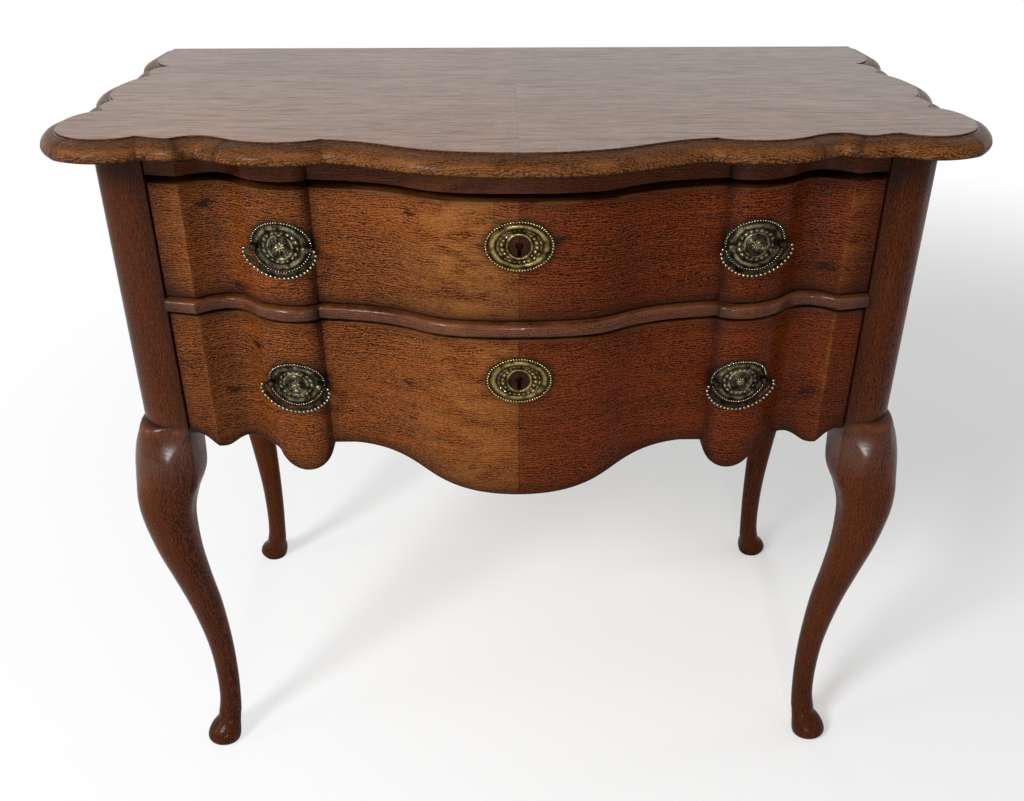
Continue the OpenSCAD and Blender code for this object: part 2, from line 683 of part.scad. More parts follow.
module lower_drawer_front() color(oak_front)
  difference() {
    lower_front_blank();
    front_cuts(lower_top_z, lower_key_z, lower_handle_z, lower_seat_z, lower_side_top);
  }

// Locks: a case let in flush behind the bow, a bolt that rises into the rail, four screws
module lock_case(top, key_z) color(iron)
  difference() {
    translate([-lock_w / 2, face_y + lock_y, top - lock_h]) cube([lock_w, lock_t, lock_h]);
    translate([-bolt_w / 2 - bolt_gap, face_y + bolt_y - bolt_t / 2 - bolt_gap, top - bolt_len - 2])
      cube([bolt_w + 2 * bolt_gap, bolt_t + 2 * bolt_gap, bolt_len + 3]);
    difference() {
      keyhole(key_z, 7);
      translate([0, face_y + lock_y + 8, key_z]) rotate([90, 0, 0]) cylinder(d = 2.6, h = 8, $fn = 24);
    }
    lock_screws(top);
  }
module lock_bolt(top) color(iron)
  translate([-bolt_w / 2, face_y + bolt_y - bolt_t / 2, top - bolt_len]) cube([bolt_w, bolt_t, bolt_len]);
module lock_screws(top) color(iron)
  for (s = [-1, 1]) for (z = [-8, 8 - lock_h])
    translate([s * (lock_w / 2 - 6), face_y + lock_y + lock_t, top + z])
      rotate([90, 0, 0]) {
        cylinder(d = 6, h = 1.5, $fn = 24);
        cylinder(d = 3, h = lock_t + 6, $fn = 24);
      }
module upper_lock_case() lock_case(upper_top_z, upper_key_z);
module lower_lock_case() lock_case(lower_top_z, lower_key_z);
module upper_lock_bolt() lock_bolt(upper_top_z);
module lower_lock_bolt() lock_bolt(lower_top_z);
module upper_lock_screws() lock_screws(upper_top_z);
module lower_lock_screws() lock_screws(lower_top_z);

// Ovals and the thin bands from which plates and escutcheons are bent
function oval(w, h) = [for (a = [0:7.5:359]) [cos(a) * w / 2, sin(a) * h / 2]];
module oval_block(x, z, w, h)
  translate([x, face_y + 40, z]) rotate([90, 0, 0]) linear_extrude(140) polygon(oval(w, h));
module band(x0, x1, out, z) {
  line = [for (p = full_line(front_half_line)) if (p[0] > x0 && p[0] < x1) p];
  l = concat([[x0, front_depth(x0)]], line, [[x1, front_depth(x1)]]);
  translate([0, face_y, z - 40])
    linear_extrude(80)
      polygon(concat(shifted(l, 0, -out), reversed(l)));
}
rim_w = 3.2;
rim_out = 2.8;
module pressed(x, z, w, h) {
  intersection() {
    band(x - w / 2 - 1, x + w / 2 + 1, plate_t, z);
    oval_block(x, z, w, h);
  }
  intersection() {
    band(x - w / 2 - 1, x + w / 2 + 1, rim_out, z);
    difference() {
      oval_block(x, z, w, h);
      oval_block(x, z, w - 2 * rim_w, h - 2 * rim_w);
    }
  }
}
module handle_plate(side, z, w, h) color(brass)
  difference() {
    pressed(side * lobe_x, z, w, h);
    shanks(z);
  }
module upper_left_plate() handle_plate(-1, upper_handle_z, plate_w, plate_h);
module upper_right_plate() handle_plate(1, upper_handle_z, plate_w, plate_h);
module lower_left_plate() handle_plate(-1, lower_handle_z, low_plate_w, low_plate_h);
module lower_right_plate() handle_plate(1, lower_handle_z, low_plate_w, low_plate_h);

// Escutcheons have a second raised ring round the opening and two pins
module escutcheon(z) color(brass)
  difference() {
    union() {
      pressed(0, z, esc_w, esc_h);
      intersection() {
        band(-esc_w / 2, esc_w / 2, rim_out - 0.6, z);
        translate([0, face_y + 40, z]) rotate([90, 0, 0]) cylinder(d = esc_hole + 6, h = 140);
      }
    }
    translate([0, face_y + 40, z]) rotate([90, 0, 0]) cylinder(d = esc_hole, h = 140);
    escutcheon_pins(z);
  }
module escutcheon_pins(z) color(brass)
  for (s = [-1, 1])
    translate([s * (esc_w / 2 - 7), face_y + front_depth(esc_w / 2 - 7) + 8, z])
      rotate([90, 0, 0]) {
        cylinder(d = 1.6, h = 8 + plate_t + 0.4, $fn = 16);
        translate([0, 0, 8 + plate_t]) cylinder(d = 3, h = 0.8, $fn = 16);
      }
module upper_escutcheon() escutcheon(upper_key_z);
module lower_escutcheon() escutcheon(lower_key_z);
module upper_escutcheon_pins() escutcheon_pins(upper_key_z);
module lower_escutcheon_pins() escutcheon_pins(lower_key_z);

// Handle posts: a ball pierced for the bail, a neck that meets the plate, a shank and a nut
ball_d = 8.4;
neck_d = 7;
function neck_end(h) = min([for (d = [-1:0.5:1]) front_depth(post_x(h) + d * neck_d / 2)]) - plate_t;
module handle_post(s, h)
  difference() {
    rotate([-90, 0, 0])
      rotate_extrude()
        difference() {
          union() {
            circle(d = ball_d);
            square([neck_d / 2, neck_end(h) + post_out(h)]);
            square([shank_d / 2, back_y + post_out(h) + nut_t + 4]);
          }
          translate([-20, -20]) square([20, 120]);
        }
    rotate([0, 0, s * handle_tilt])
      translate([-10, 0, 0]) rotate([0, 90, 0]) cylinder(d = pivot_d + 2 * pivot_gap, h = 20);
  }
module handle_posts(z) color(brass)
  for (s = [-1, 1]) for (h = [-1, 1])
    translate([s * post_x(h), face_y - post_out(h), z]) handle_post(s, h);
module handle_nuts(z) color(brass)
  difference() {
    for (s = [-1, 1]) for (h = [-1, 1])
      translate([s * post_x(h) - nut_w / 2, face_y + back_y, z - nut_w / 2])
        cube([nut_w, nut_t, nut_w]);
    shanks(z);
  }
module upper_handle_posts() handle_posts(upper_handle_z);
module lower_handle_posts() handle_posts(lower_handle_z);
module upper_handle_nuts() handle_nuts(upper_handle_z);
module lower_handle_nuts() handle_nuts(lower_handle_z);

// Bails: pivot pins turned inwards, a tight shoulder, then two arcs down to the grip
bail_half = handle_half + 9.2;
bail_drop = plate_h / 2 + 3.2;
turn_r = 4;
side_r = 14;
side_cx = bail_half - side_r;
side_cz = -turn_r;
grip_r = (side_cx * side_cx + (side_cz + bail_drop) * (side_cz + bail_drop) - side_r * side_r)
  / (2 * (bail_drop + side_cz - side_r));
grip_cz = grip_r - bail_drop;
join_a = atan2(grip_cz - side_cz, side_cx);
function arc_points(c, r, a0, a1, n) = [for (i = [0:n]) let (a = a0 + (a1 - a0) * i / n)
  [c[0] + r * cos(a), c[1] + r * sin(a), a - 90]];
bail_start = handle_half + ball_d / 2 + 0.5;
bail_path = concat(
  [[bail_start, 0, 0]],
  arc_points([bail_half - turn_r, -turn_r], turn_r, 90, 0, 5),
  [for (i = [1:6]) let (a = -join_a * i / 6)
    [side_cx + side_r * cos(a), side_cz + side_r * sin(a), a - 90]],
  [for (i = [1:5]) let (a = -join_a - (90 - join_a) * i / 5)
    [grip_r * cos(a), grip_cz + grip_r * sin(a), a - 90]]);
bail_line = concat(bail_path, [for (p = reversed(bail_path)) if (p[0] > 0.001) [-p[0], p[1], -p[2] - 360]]);
module bail(side, z) color(brass)
  translate([side * lobe_x, handle_y, z]) rotate([0, 0, side * handle_tilt])
    union() {
      lofted([for (p = bail_line) [for (a = [0:30:359])
        let (n = bail_d / 2 * cos(a)) [p[0] - n * sin(p[2]), -bail_d / 2 * sin(a), p[1] + n * cos(p[2])]]]);
      for (s = [-1, 1])
        translate([s * (bail_start + 1), 0, 0])
          rotate([0, -s * 90, 0]) cylinder(d = pivot_d, h = bail_start + 1 - handle_half + 3.4);
    }
module upper_left_bail() bail(-1, upper_handle_z);
module upper_right_bail() bail(1, upper_handle_z);
module lower_left_bail() bail(-1, lower_handle_z);
module lower_right_bail() bail(1, lower_handle_z);

top_board();
leg_front_left();
leg_front_right();
leg_back_left();
leg_back_right();
side_panel_left();
side_panel_right();
back_board_upper();
back_board_lower();
top_rail();
middle_rail();
bottom_rail();
runner_upper_left();
runner_upper_right();
runner_lower_left();
runner_lower_right();
guide_upper_left();
guide_upper_right();
guide_lower_left();
guide_lower_right();
kicker_left();
kicker_right();
drawer_stops();
glue_blocks();
top_screws();
back_nails();
upper_drawer_front();
upper_drawer_side_left();
upper_drawer_side_right();
upper_drawer_back();
upper_drawer_bottom();
lower_drawer_front();
lower_drawer_side_left();
lower_drawer_side_right();
lower_drawer_back();
lower_drawer_bottom();
upper_lock_case();
upper_lock_bolt();
upper_lock_screws();
lower_lock_case();
lower_lock_bolt();
lower_lock_screws();
upper_escutcheon();
upper_escutcheon_pins();
lower_escutcheon();
lower_escutcheon_pins();
upper_left_plate();
upper_right_plate();
lower_left_plate();
lower_right_plate();
upper_left_bail();
upper_right_bail();
lower_left_bail();
lower_right_bail();
upper_handle_posts();
upper_handle_nuts();
lower_handle_posts();
lower_handle_nuts();
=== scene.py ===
# %% [markdown]
# # A serpentine oak chest of two drawers
#
# The solids of this chest come from a CAD pack and stand in this scene as a
# fixed frame. The lesson dresses that frame: it rebuilds what the eye rests on
# with finer curves, softened edges and pressed brass, and gives every wood and
# metal a finish made of nodes. The first cell loads the frame and can read the
# size of each of its parts. Nothing made here may grow beyond it.

# %% Load the frame
import math
from functools import partial

import bmesh
import bpy
import numpy as np
from mathutils import Matrix, Vector, kdtree


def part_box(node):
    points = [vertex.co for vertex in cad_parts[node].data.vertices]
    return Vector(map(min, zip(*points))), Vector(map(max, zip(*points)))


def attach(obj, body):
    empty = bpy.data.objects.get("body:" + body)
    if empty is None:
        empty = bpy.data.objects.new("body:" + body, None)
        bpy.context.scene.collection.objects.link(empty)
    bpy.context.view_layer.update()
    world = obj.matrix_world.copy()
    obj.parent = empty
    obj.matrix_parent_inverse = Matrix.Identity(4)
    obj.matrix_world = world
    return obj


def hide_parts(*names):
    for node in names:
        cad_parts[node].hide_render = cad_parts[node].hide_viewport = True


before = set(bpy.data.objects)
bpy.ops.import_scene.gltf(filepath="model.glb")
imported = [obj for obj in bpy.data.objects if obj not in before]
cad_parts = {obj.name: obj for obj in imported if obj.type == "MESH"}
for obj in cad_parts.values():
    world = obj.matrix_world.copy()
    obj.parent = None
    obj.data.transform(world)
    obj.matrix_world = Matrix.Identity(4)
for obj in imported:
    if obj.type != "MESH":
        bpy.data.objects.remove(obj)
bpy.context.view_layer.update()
MM = 0.001
SIDES = {"left": -1, "right": 1}


def new_object(name, data):
    """A new object that is part of the scene."""
    made = bpy.data.objects.new(name, data)
    bpy.context.scene.collection.objects.link(made)
    return made


# %% [markdown]
# ## Where the camera stands
#
# The chest is seen from a little above eye level of someone who stands in
# front of it. The place and the tilt were solved from the two mirrored halves
# of the chest, so the lens needs no shift. A matrix made of one turn after the
# other is clearer here than three Euler angles in one line.

# %% Camera
camera_at = Vector((-0.0161, -1.0755, 0.9930))
camera_down, camera_yaw, camera_roll = (math.radians(a) for a in (28.55, -0.63, 0.09))
FOCAL_PIXELS, PICTURE_WIDTH, SENSOR = 1007.5, 1024.0, 36.0
lens = bpy.data.cameras.new("eye")
lens.sensor_width = SENSOR
lens.lens = FOCAL_PIXELS * SENSOR / PICTURE_WIDTH
camera = new_object("eye", lens)
turn = (Matrix.Rotation(camera_yaw, 4, "Z") @ Matrix.Rotation(math.pi / 2 - camera_down, 4, "X")
        @ Matrix.Rotation(-camera_roll, 4, "Z"))
camera.matrix_world = Matrix.Translation(camera_at) @ turn
bpy.context.scene.camera = camera
print("lens in mm:", round(lens.lens, 2))

# %% [markdown]
# ## A short way to write nodes
#
# A finish is a small web of nodes. Written out in full each node takes four
# lines, so one helper makes a node, sets what is given as a number or colour,
# and links what is given as a socket. The wood and metal groups below read
# almost like formulas because of it.

# %% Node helpers
def feed(node, **inputs):
    """Sets or links inputs, given by name, with _ for a space, or by number as i0, i1."""
    for key, value in inputs.items():
        numbered = key[0] == "i" and key[1:].isdigit()
        socket = node.inputs[int(key[1:]) if numbered else key.replace("_", " ")]
        if isinstance(value, bpy.types.NodeSocket):
            node.id_data.links.new(value, socket)
        else:
            socket.default_value = value
    return node


def add(tree, kind, settings=None, **inputs):
    """One node with its settings and inputs."""
    node = tree.nodes.new(kind)
    for key, value in (settings or {}).items():
        setattr(node, key, value)
    return feed(node, **inputs)


def tree_of(*values):
    """The tree that the first socket among some values belongs to."""
    return next(v.id_data for v in values if isinstance(v, bpy.types.NodeSocket))


def calc(operation, *values):
    """A Math node and its result."""
    numbered = {f"i{k}": v for k, v in enumerate(values)}
    return add(tree_of(*values), "ShaderNodeMath", {"operation": operation}, **numbered).outputs[0]


plus, minus, times = (partial(calc, kind) for kind in ("ADD", "SUBTRACT", "MULTIPLY"))


def ramp(value, low, high, to_low=0.0, to_high=1.0):
    """Stretches a part of a value's range, clamped at both ends."""
    return add(tree_of(value), "ShaderNodeMapRange", {"interpolation_type": "SMOOTHSTEP"}, Value=value,
               From_Min=low, From_Max=high, To_Min=to_low, To_Max=to_high).outputs["Result"]


def blend(factor, first, second, mode="MIX"):
    return add(tree_of(factor, first, second), "ShaderNodeMix", {"data_type": "RGBA", "blend_type": mode},
               i0=factor, i6=first, i7=second).outputs[2]


def noise(parts, scales, detail=2.0, roughness=0.5):
    """Noise in a space stretched by three scales, given in waves to the metre."""
    stretched = {f"i{k}": times(parts[k], scales[k]) for k in range(3)}
    place = add(tree_of(parts[0]), "ShaderNodeCombineXYZ", **stretched).outputs[0]
    return add(tree_of(place), "ShaderNodeTexNoise", Vector=place, Scale=1.0, Detail=detail,
               Roughness=roughness).outputs["Fac"]


def attribute(tree, name, output="Fac"):
    """What a piece stores at its points."""
    return add(tree, "ShaderNodeAttribute", {"attribute_name": name}).outputs[output]


def new_finish(name):
    """A fresh material, its tree and its shader."""
    finish = bpy.data.materials.new(name)
    finish.use_nodes = True
    return finish, finish.node_tree, finish.node_tree.nodes["Principled BSDF"]


def use(tree, group, **inputs):
    """A group as one node, and its outputs."""
    return add(tree, "ShaderNodeGroup", {"node_tree": group}, **inputs).outputs


def split(vector):
    """The three numbers of a vector."""
    return add(vector.id_data, "ShaderNodeSeparateXYZ", Vector=vector).outputs


def relief(height, strength, distance):
    """The normal of a surface that a height lifts a little."""
    return add(height.id_data, "ShaderNodeBump", Strength=strength, Distance=distance, Height=height).outputs[0]


def new_group(name, inputs, outputs):
    """An empty shader group with typed sockets; returns the tree, its inputs and its output node."""
    tree = bpy.data.node_groups.new(name, "ShaderNodeTree")
    kinds = {float: "NodeSocketFloat", tuple: "NodeSocketColor", "vector": "NodeSocketVector"}
    for label, value in inputs:
        kind = kinds["vector"] if value is None else kinds[type(value)]
        socket = tree.interface.new_socket(name=label, in_out="INPUT", socket_type=kind)
        if value is not None:
            socket.default_value = value
    for label, kind in outputs:
        tree.interface.new_socket(name=label, in_out="OUTPUT", socket_type=kinds[kind])
    return tree, tree.nodes.new("NodeGroupInput").outputs, tree.nodes.new("NodeGroupOutput")


def srgb(*screen):
    """A colour as it is seen on a screen, 0 to 255, as the linear colour that nodes take."""
    shares = [c / 255.0 for c in screen]
    return (*(c / 12.92 if c <= 0.04045 else ((c + 0.055) / 1.055) ** 2.4 for c in shares), 1.0)


print("a warm brown on screen, as nodes take it:", [round(c, 3) for c in srgb(96, 58, 34)])

# %% [markdown]
# ## The figure of oak
#
# Sawn oak shows three things at three scales: slow bands of growth, short dark
# pores that lie along the grain, and small pale flecks where the rays are cut.
# All three are noise that is stretched along the grain, so the group asks for
# a coordinate that runs along, across and through the board. Each piece
# carries that coordinate as its own attribute, which lets the grain follow the
# bow of a front or the bend of a leg. A veneered surface has a joint in its
# middle, where the next leaf starts with another part of the figure. A tint
# can darken that second leaf; on the fronts it is partly the veneer's own
# colour and partly painted shade.

# %% Oak group
ROWS_PER_METRE, LEAF_SHIFT, JOINT_HALF = 460.0, 0.437, 0.0004
oak, given, result = new_group(
    "oak_figure",
    [("Grain", None), ("Light", srgb(140, 88, 50)), ("Dark", srgb(84, 44, 22)), ("Pore colour", srgb(30, 14, 8)),
     ("Pores", 0.6), ("Fleck", 0.4), ("Mottle", 0.5), ("Joint", 0.0), ("Joint line", 0.5),
     ("Second leaf", (1.0, 1.0, 1.0, 1.0)), ("Along scale", 1.0), ("Across scale", 1.0)],
    [("Colour", tuple), ("Roughness", float), ("Height", float)])
along, across, through = split(given["Grain"])
middle = calc("ABSOLUTE", along)
second_leaf = times(calc("GREATER_THAN", along, 0.0), given["Joint"])
along = plus(along, times(second_leaf, LEAF_SHIFT))
plain = (along, across, through)
for scales, swing in (((4.0, 7.0, 7.0), 0.03), ((30.0, 24.0, 24.0), 0.009)):
    across = plus(across, times(minus(noise(plain, scales), 0.5), swing))
flow = (along, across, through)
bands = noise(flow, (6.0, 150.0, 110.0), 4.0, 0.62)
clouds = noise(flow, (5.0, 13.0, 9.0), 3.0, 0.55)
waver = times(noise(flow, (90.0, 230.0, 200.0), 2.0, 0.6), 17.0)
rows = calc("SINE", plus(times(plus(across, times(through, 0.6)), 2 * math.pi * ROWS_PER_METRE), waver))
dash = (times(along, given["Along scale"]), times(across, given["Across scale"]),
        times(through, given["Across scale"]))
threads = plus(times(rows, 0.17), noise(dash, (520.0, 1000.0, 820.0), 1.0))
pores = ramp(noise(dash, (240.0, 1250.0, 1000.0), 1.0), 0.52, 0.68)
fleck = ramp(noise(dash, (480.0, 980.0, 800.0), 1.0), 0.48, 0.62)
tone = plus(plus(times(bands, 0.25), times(threads, 0.75)), times(minus(clouds, 0.5), given["Mottle"]))
colour = blend(ramp(tone, 0.40, 0.60), given["Dark"], given["Light"])
colour = blend(times(fleck, given["Fleck"]), colour, blend(0.4, colour, given["Light"], "ADD"))
colour = blend(times(pores, given["Pores"]), colour, given["Pore colour"])
colour = blend(second_leaf, colour, blend(1.0, colour, given["Second leaf"], "MULTIPLY"))
joint = times(ramp(middle, JOINT_HALF, 0.0011, 1.0, 0.0), given["Joint"])
feed(result, Colour=blend(times(joint, given["Joint line"]), colour, given["Pore colour"]),
     Roughness=ramp(plus(threads, times(pores, 0.6)), 0.3, 1.2, -0.06, 0.14),
     Height=minus(plus(times(bands, 0.35), times(threads, 0.4)), plus(times(pores, 0.5), joint)))
print("oak_figure:", len(oak.nodes), "nodes")

# %% [markdown]
# ## Marks and painted light
#
# Two attributes change the wood's colour with its shape. The darker one is
# partly dust and old wax and partly painted shade: in corners, creases and
# recesses, under mouldings and overhangs, and between parts. The lighter one is
# partly where hands have rubbed the arrises and partly painted highlight along
# edges and ridges that catch the lamps. Each piece works both out from where its
# points lie. The group breaks them up with noise, so that neither is an even
# line, and adds the ink and rust spots that old fronts collect.

# %% Marks and painted light group
# Grime colour paints dust and painted shade; Wear colour paints rubbed oak and painted highlights.
marks_and_light, given, result = new_group(
    "marks_and_painted_light",
    [("Colour", (0.2, 0.1, 0.05, 1.0)), ("Grain", None), ("Grime", 0.0), ("Wear", 0.0), ("Stains", 0.3),
     ("Grime colour", srgb(24, 10, 6)), ("Wear colour", srgb(176, 116, 76))],
    [("Colour", tuple), ("Roughness", float)])
place = split(given["Grain"])
patchy = noise(place, (26.0, 60.0, 60.0), 4.0, 0.6)
stains = ramp(noise(place, (11.0, 30.0, 22.0), 5.0, 0.62), 0.64, 0.74)
# Lighter: rubbed arrises and painted highlight.
rubbed = times(given["Wear"], ramp(patchy, 0.35, 0.62))
# Darker: dust and painted shade, then the stains.
darkening = times(given["Grime"], ramp(patchy, 0.15, 0.6, 0.55, 1.0))
darkening = calc("MAXIMUM", darkening, times(stains, given["Stains"]))
colour = blend(times(rubbed, 0.75), given["Colour"], given["Wear colour"])
feed(result, Colour=blend(darkening, colour, given["Grime colour"]), Roughness=times(minus(darkening, rubbed), 0.15))
print("marks_and_painted_light:", len(marks_and_light.nodes), "nodes")

spot, given, result = new_group("ink_spot", [("Across", 0.0), ("Up", 0.0), ("Size", 0.008)], [("Mask", float)])
place = split(add(spot, "ShaderNodeTexCoord").outputs["Object"])
wide = calc("DIVIDE", minus(place[0], given["Across"]), times(given["Size"], 1.7))
tall = calc("DIVIDE", minus(place[2], given["Up"]), given["Size"])
reach = calc("SQRT", plus(calc("POWER", wide, 2.0), calc("POWER", tall, 2.0)))
reach = plus(reach, times(minus(noise(place, (130.0, 130.0, 420.0), 4.0, 0.65), 0.5), 3.2))
feed(result, Mask=ramp(reach, 0.2, 0.8, 1.0, 0.0))
print("ink_spot:", len(spot.nodes), "nodes")

# %% [markdown]
# ## Waxed oak, and oak that never saw wax
#
# The same two groups make every wooden finish; only their values differ. The
# top is a grey brown, warmer at the front and greyer towards the back; that grey
# is a painted sheen of the bright room, which a waxed board mirrors where it is
# seen at a low angle. Its moulding is darker and redder, the fronts are veneered
# and redder, the case is dark, hands have polished the lip between the drawers,
# and the inside is bare. The gloss is a soft coat over a rougher surface, as wax
# sits on open grain.

# %% Wooden finishes
def oak_finish(name, light, dark, pore, pores=0.6, fleck=0.4, mottle=0.5, joint=0.0, line=0.5, leaf=(1, 1, 1),
               stains=0.3, grime=(24, 10, 6), wear=(170, 110, 72), rough=0.42, coat=0.1, gloss=0.1, bump=0.5,
               spots=(), scale=(1.0, 1.0), painted_light=None):
    finish, tree, shader = new_finish(name)
    grain = attribute(tree, "grain", "Vector")
    figure = use(tree, oak, Grain=grain, Light=srgb(*light), Dark=srgb(*dark), Pore_colour=srgb(*pore),
                 Pores=pores, Fleck=fleck, Mottle=mottle, Joint=joint, Joint_line=line, Second_leaf=(*leaf, 1.0),
                 Along_scale=scale[0], Across_scale=scale[1])
    marks = use(tree, marks_and_light, Colour=figure["Colour"], Grain=grain, Grime=attribute(tree, "grime"),
                Wear=attribute(tree, "wear"), Stains=stains, Grime_colour=srgb(*grime), Wear_colour=srgb(*wear))
    colour, inked = marks["Colour"], 0.0
    for x, z, size in spots:
        inked = calc("MAXIMUM", use(tree, spot, Across=x * MM, Up=z * MM, Size=size * MM)[0], inked)
    if spots:
        colour = blend(times(inked, 0.85), colour, srgb(20, 8, 8))
    # Painted sheen: a warm tint towards the front and a grey one towards the back.
    if painted_light:
        near_y, far_y, warm, grey = painted_light
        for tint, at_front, at_back in ((warm, 0.5, 0.0), (grey, 0.0, 0.45)):
            share = ramp(split(grain)[1], near_y * MM, far_y * MM, at_front, at_back)
            colour = blend(share, colour, blend(1.0, colour, (*tint, 1.0), "MULTIPLY"))
    feed(shader, Base_Color=colour, Roughness=plus(plus(figure["Roughness"], marks["Roughness"]), rough),
         Normal=relief(figure["Height"], bump, 0.0006), Specular_IOR_Level=gloss, Coat_Roughness=0.2,
         Coat_Weight=plus(attribute(tree, "polish"), coat))
    return finish


ink_spots = [(-292, 707, 8), (-268, 625, 7), (-268, 613, 7), (37, 693, 8), (-100, 713, 5), (296, 642, 8),
             (-290, 510, 7), (-258, 566, 5), (-106, 540, 6), (-106, 502, 5), (-44, 456, 4), (296, 504, 10)]
# The top's grey brown, greying towards the back, is partly a painted sheen.
oak_top = oak_finish("waxed_oak_top", (156, 122, 96), (88, 62, 45), (46, 28, 19), pores=0.5, fleck=0.35,
                     mottle=0.35, joint=1.0, line=0.15, leaf=(0.95, 1.0, 1.04), stains=0.1, rough=0.38, coat=0.1,
                     gloss=0.5, scale=(0.1, 0.7), painted_light=(-240, 120, (1.12, 0.9, 0.74), (0.84, 0.98, 1.02)))
oak_edge = oak_finish("waxed_oak_moulding", (102, 62, 28), (40, 20, 8), (16, 7, 3), pores=0.4, fleck=0.4,
                      stains=0.15, mottle=0.2, rough=0.26, coat=0.03, gloss=0.03)
oak_case = oak_finish("waxed_oak_case", (74, 34, 10), (38, 15, 4), (22, 9, 3), pores=0.2, fleck=0.2, mottle=0.35,
                      stains=0.15, rough=0.2, coat=0.06, gloss=0.03, wear=(132, 78, 40), bump=0.3)
oak_lip = oak_finish("polished_oak_lip", (96, 50, 22), (52, 24, 9), (24, 10, 4), pores=0.3, fleck=0.3, mottle=0.2,
                     stains=0.1, rough=0.16, coat=0.12, gloss=0.1, wear=(160, 104, 66), bump=0.35)
# The second leaf's dark red tint is partly the veneer's own colour and partly painted shade.
oak_front = oak_finish("waxed_oak_front", (117, 62, 24), (26, 10, 4), (16, 6, 2), pores=0.4, fleck=0.6,
                       mottle=0.2, joint=1.0, leaf=(0.68, 0.46, 0.38), stains=0.2, rough=0.3, coat=0.04,
                       gloss=0.03, wear=(168, 112, 56), spots=ink_spots)
oak_bare = oak_finish("bare_oak_inside", (172, 134, 88), (122, 88, 52), (70, 46, 26), pores=0.6, fleck=0.3,
                      mottle=0.4, stains=0.2, grime=(60, 40, 26), rough=0.62, coat=0.0, gloss=0.3)
print("wooden finishes:", [m.name for m in (oak_top, oak_edge, oak_case, oak_lip, oak_front, oak_bare)])

# %% [markdown]
# ## Old brass and forged iron
#
# Pressed brass stays bright only where cloth and fingers reach it. In the
# hollows it turns olive and then nearly black. Each brass piece carries an
# attribute, hollow, that is 1 in the depth of the relief, and the group adds
# blotches and fine scratches to it. Iron is darker and rougher, with rust.

# %% Metal group and finishes
metal, given, result = new_group(
    "metal_tarnish",
    [("Bright", srgb(150, 136, 96)), ("Dull", srgb(84, 74, 48)), ("Crust", srgb(26, 22, 14)), ("Hollow", 0.0),
     ("Blotches", 0.5)],
    [("Colour", tuple), ("Roughness", float), ("Height", float)])
place = split(add(metal, "ShaderNodeTexCoord").outputs["Object"])
blotch = noise(place, (130.0,) * 3, 5.0, 0.62)
speck = noise(place, (900.0,) * 3, 2.0, 0.6)
dulled = plus(times(ramp(blotch, 0.35, 0.65), given["Blotches"]), times(speck, 0.25))
dulled = times(dulled, ramp(given["Hollow"], 0.0, 0.35, 0.25, 1.3))
crust = times(ramp(given["Hollow"], 0.1, 0.9), ramp(speck, 0.2, 0.6, 0.7, 1.0))
feed(result, Colour=blend(crust, blend(dulled, given["Bright"], given["Dull"]), given["Crust"]),
     Roughness=plus(times(crust, 0.3), times(dulled, 0.22)), Height=plus(times(speck, 0.6), blotch))


def metal_finish(name, bright, dull, crust, blotches, rough, metallic):
    finish, tree, shader = new_finish(name)
    tarnish = use(tree, metal, Bright=srgb(*bright), Dull=srgb(*dull), Crust=srgb(*crust), Blotches=blotches,
                  Hollow=attribute(tree, "hollow"))
    feed(shader, Base_Color=tarnish["Colour"], Roughness=plus(tarnish["Roughness"], rough), Metallic=metallic,
         Normal=relief(tarnish["Height"], 0.25, 0.0003))
    return finish


brass = metal_finish("old_brass", (150, 140, 110), (40, 34, 22), (12, 10, 7), 0.7, 0.1, 1.0)
gilt = metal_finish("golden_brass", (168, 144, 92), (50, 40, 20), (14, 11, 6), 0.65, 0.1, 1.0)
iron = metal_finish("forged_iron", (92, 84, 78), (62, 48, 40), (30, 20, 16), 0.8, 0.45, 0.85)
print("metal finishes:", brass.name, gilt.name, iron.name)

# %% [markdown]
# ## Curves and skins
#
# A serpentine chest is drawn with a few cubic curves in plan. Every wooden
# piece along the front follows the same one, so it is kept as a dense line of
# points that can be asked for its depth at any x. Numbers are in millimetres
# here, as on a workshop drawing, and become metres when a mesh is made.

# %% Plan curves
FACE_Y = -167.5
HALF_OPEN, HALF_FRONT, CUSP_X, ARRIS_X, LOBE_X, LIP_OUT = 342.0, 340.8, 190.0, 311.0, 220.0, 7.0


def bezier(points, steps):
    """A cubic curve from four control points, without its last point."""
    t = np.linspace(0.0, 1.0, steps, endpoint=False)[:, None]
    p = np.array(points, float)
    return (1 - t) ** 3 * p[0] + 3 * (1 - t) ** 2 * t * p[1] + 3 * (1 - t) * t * t * p[2] + t ** 3 * p[3]


def at_angle(degrees, reach=1.0):
    """A place on a circle round the origin."""
    a = math.radians(degrees)
    return reach * math.cos(a), reach * math.sin(a)


def reader(line, start=0.0):
    """A function of x that reads a line of points, mirrored at the middle, and adds where it starts."""
    return lambda x: start + np.interp(np.abs(x), line[:, 0], line[:, 1])


def level(value):
    """The same for a straight line."""
    return lambda x: value


front_half = np.vstack([
    bezier([[0, -63], [122.5, -63], [63, -31], [CUSP_X, -16]], 48),
    bezier([[CUSP_X, -16], [193, -27], [232, -32], [258, -3]], 30),
    bezier([[258, -3], [266, 4], [281, 21.7], [ARRIS_X, -5]], 24), [[ARRIS_X, -5], [HALF_FRONT, 2]]])
back_half = np.vstack([bezier([[0, -36], [94.5, -36], [94.5, 22], [175, 22]], 24), [[175, 22], [HALF_FRONT, 22]]])
rail_half = np.vstack([front_half[:-1], [[HALF_OPEN, 2]]])
front_at, back_at = reader(front_half), reader(back_half)
rail_at, lip_at = reader(rail_half), reader(rail_half, -LIP_OUT)
front_run = np.concatenate([[0], np.cumsum(np.hypot(*np.diff(front_half, axis=0).T))])


def run_of(x):
    """Length along the front from the middle, so that grain follows the bow."""
    return np.sign(x) * np.interp(np.abs(x), front_half[:, 0], front_run)


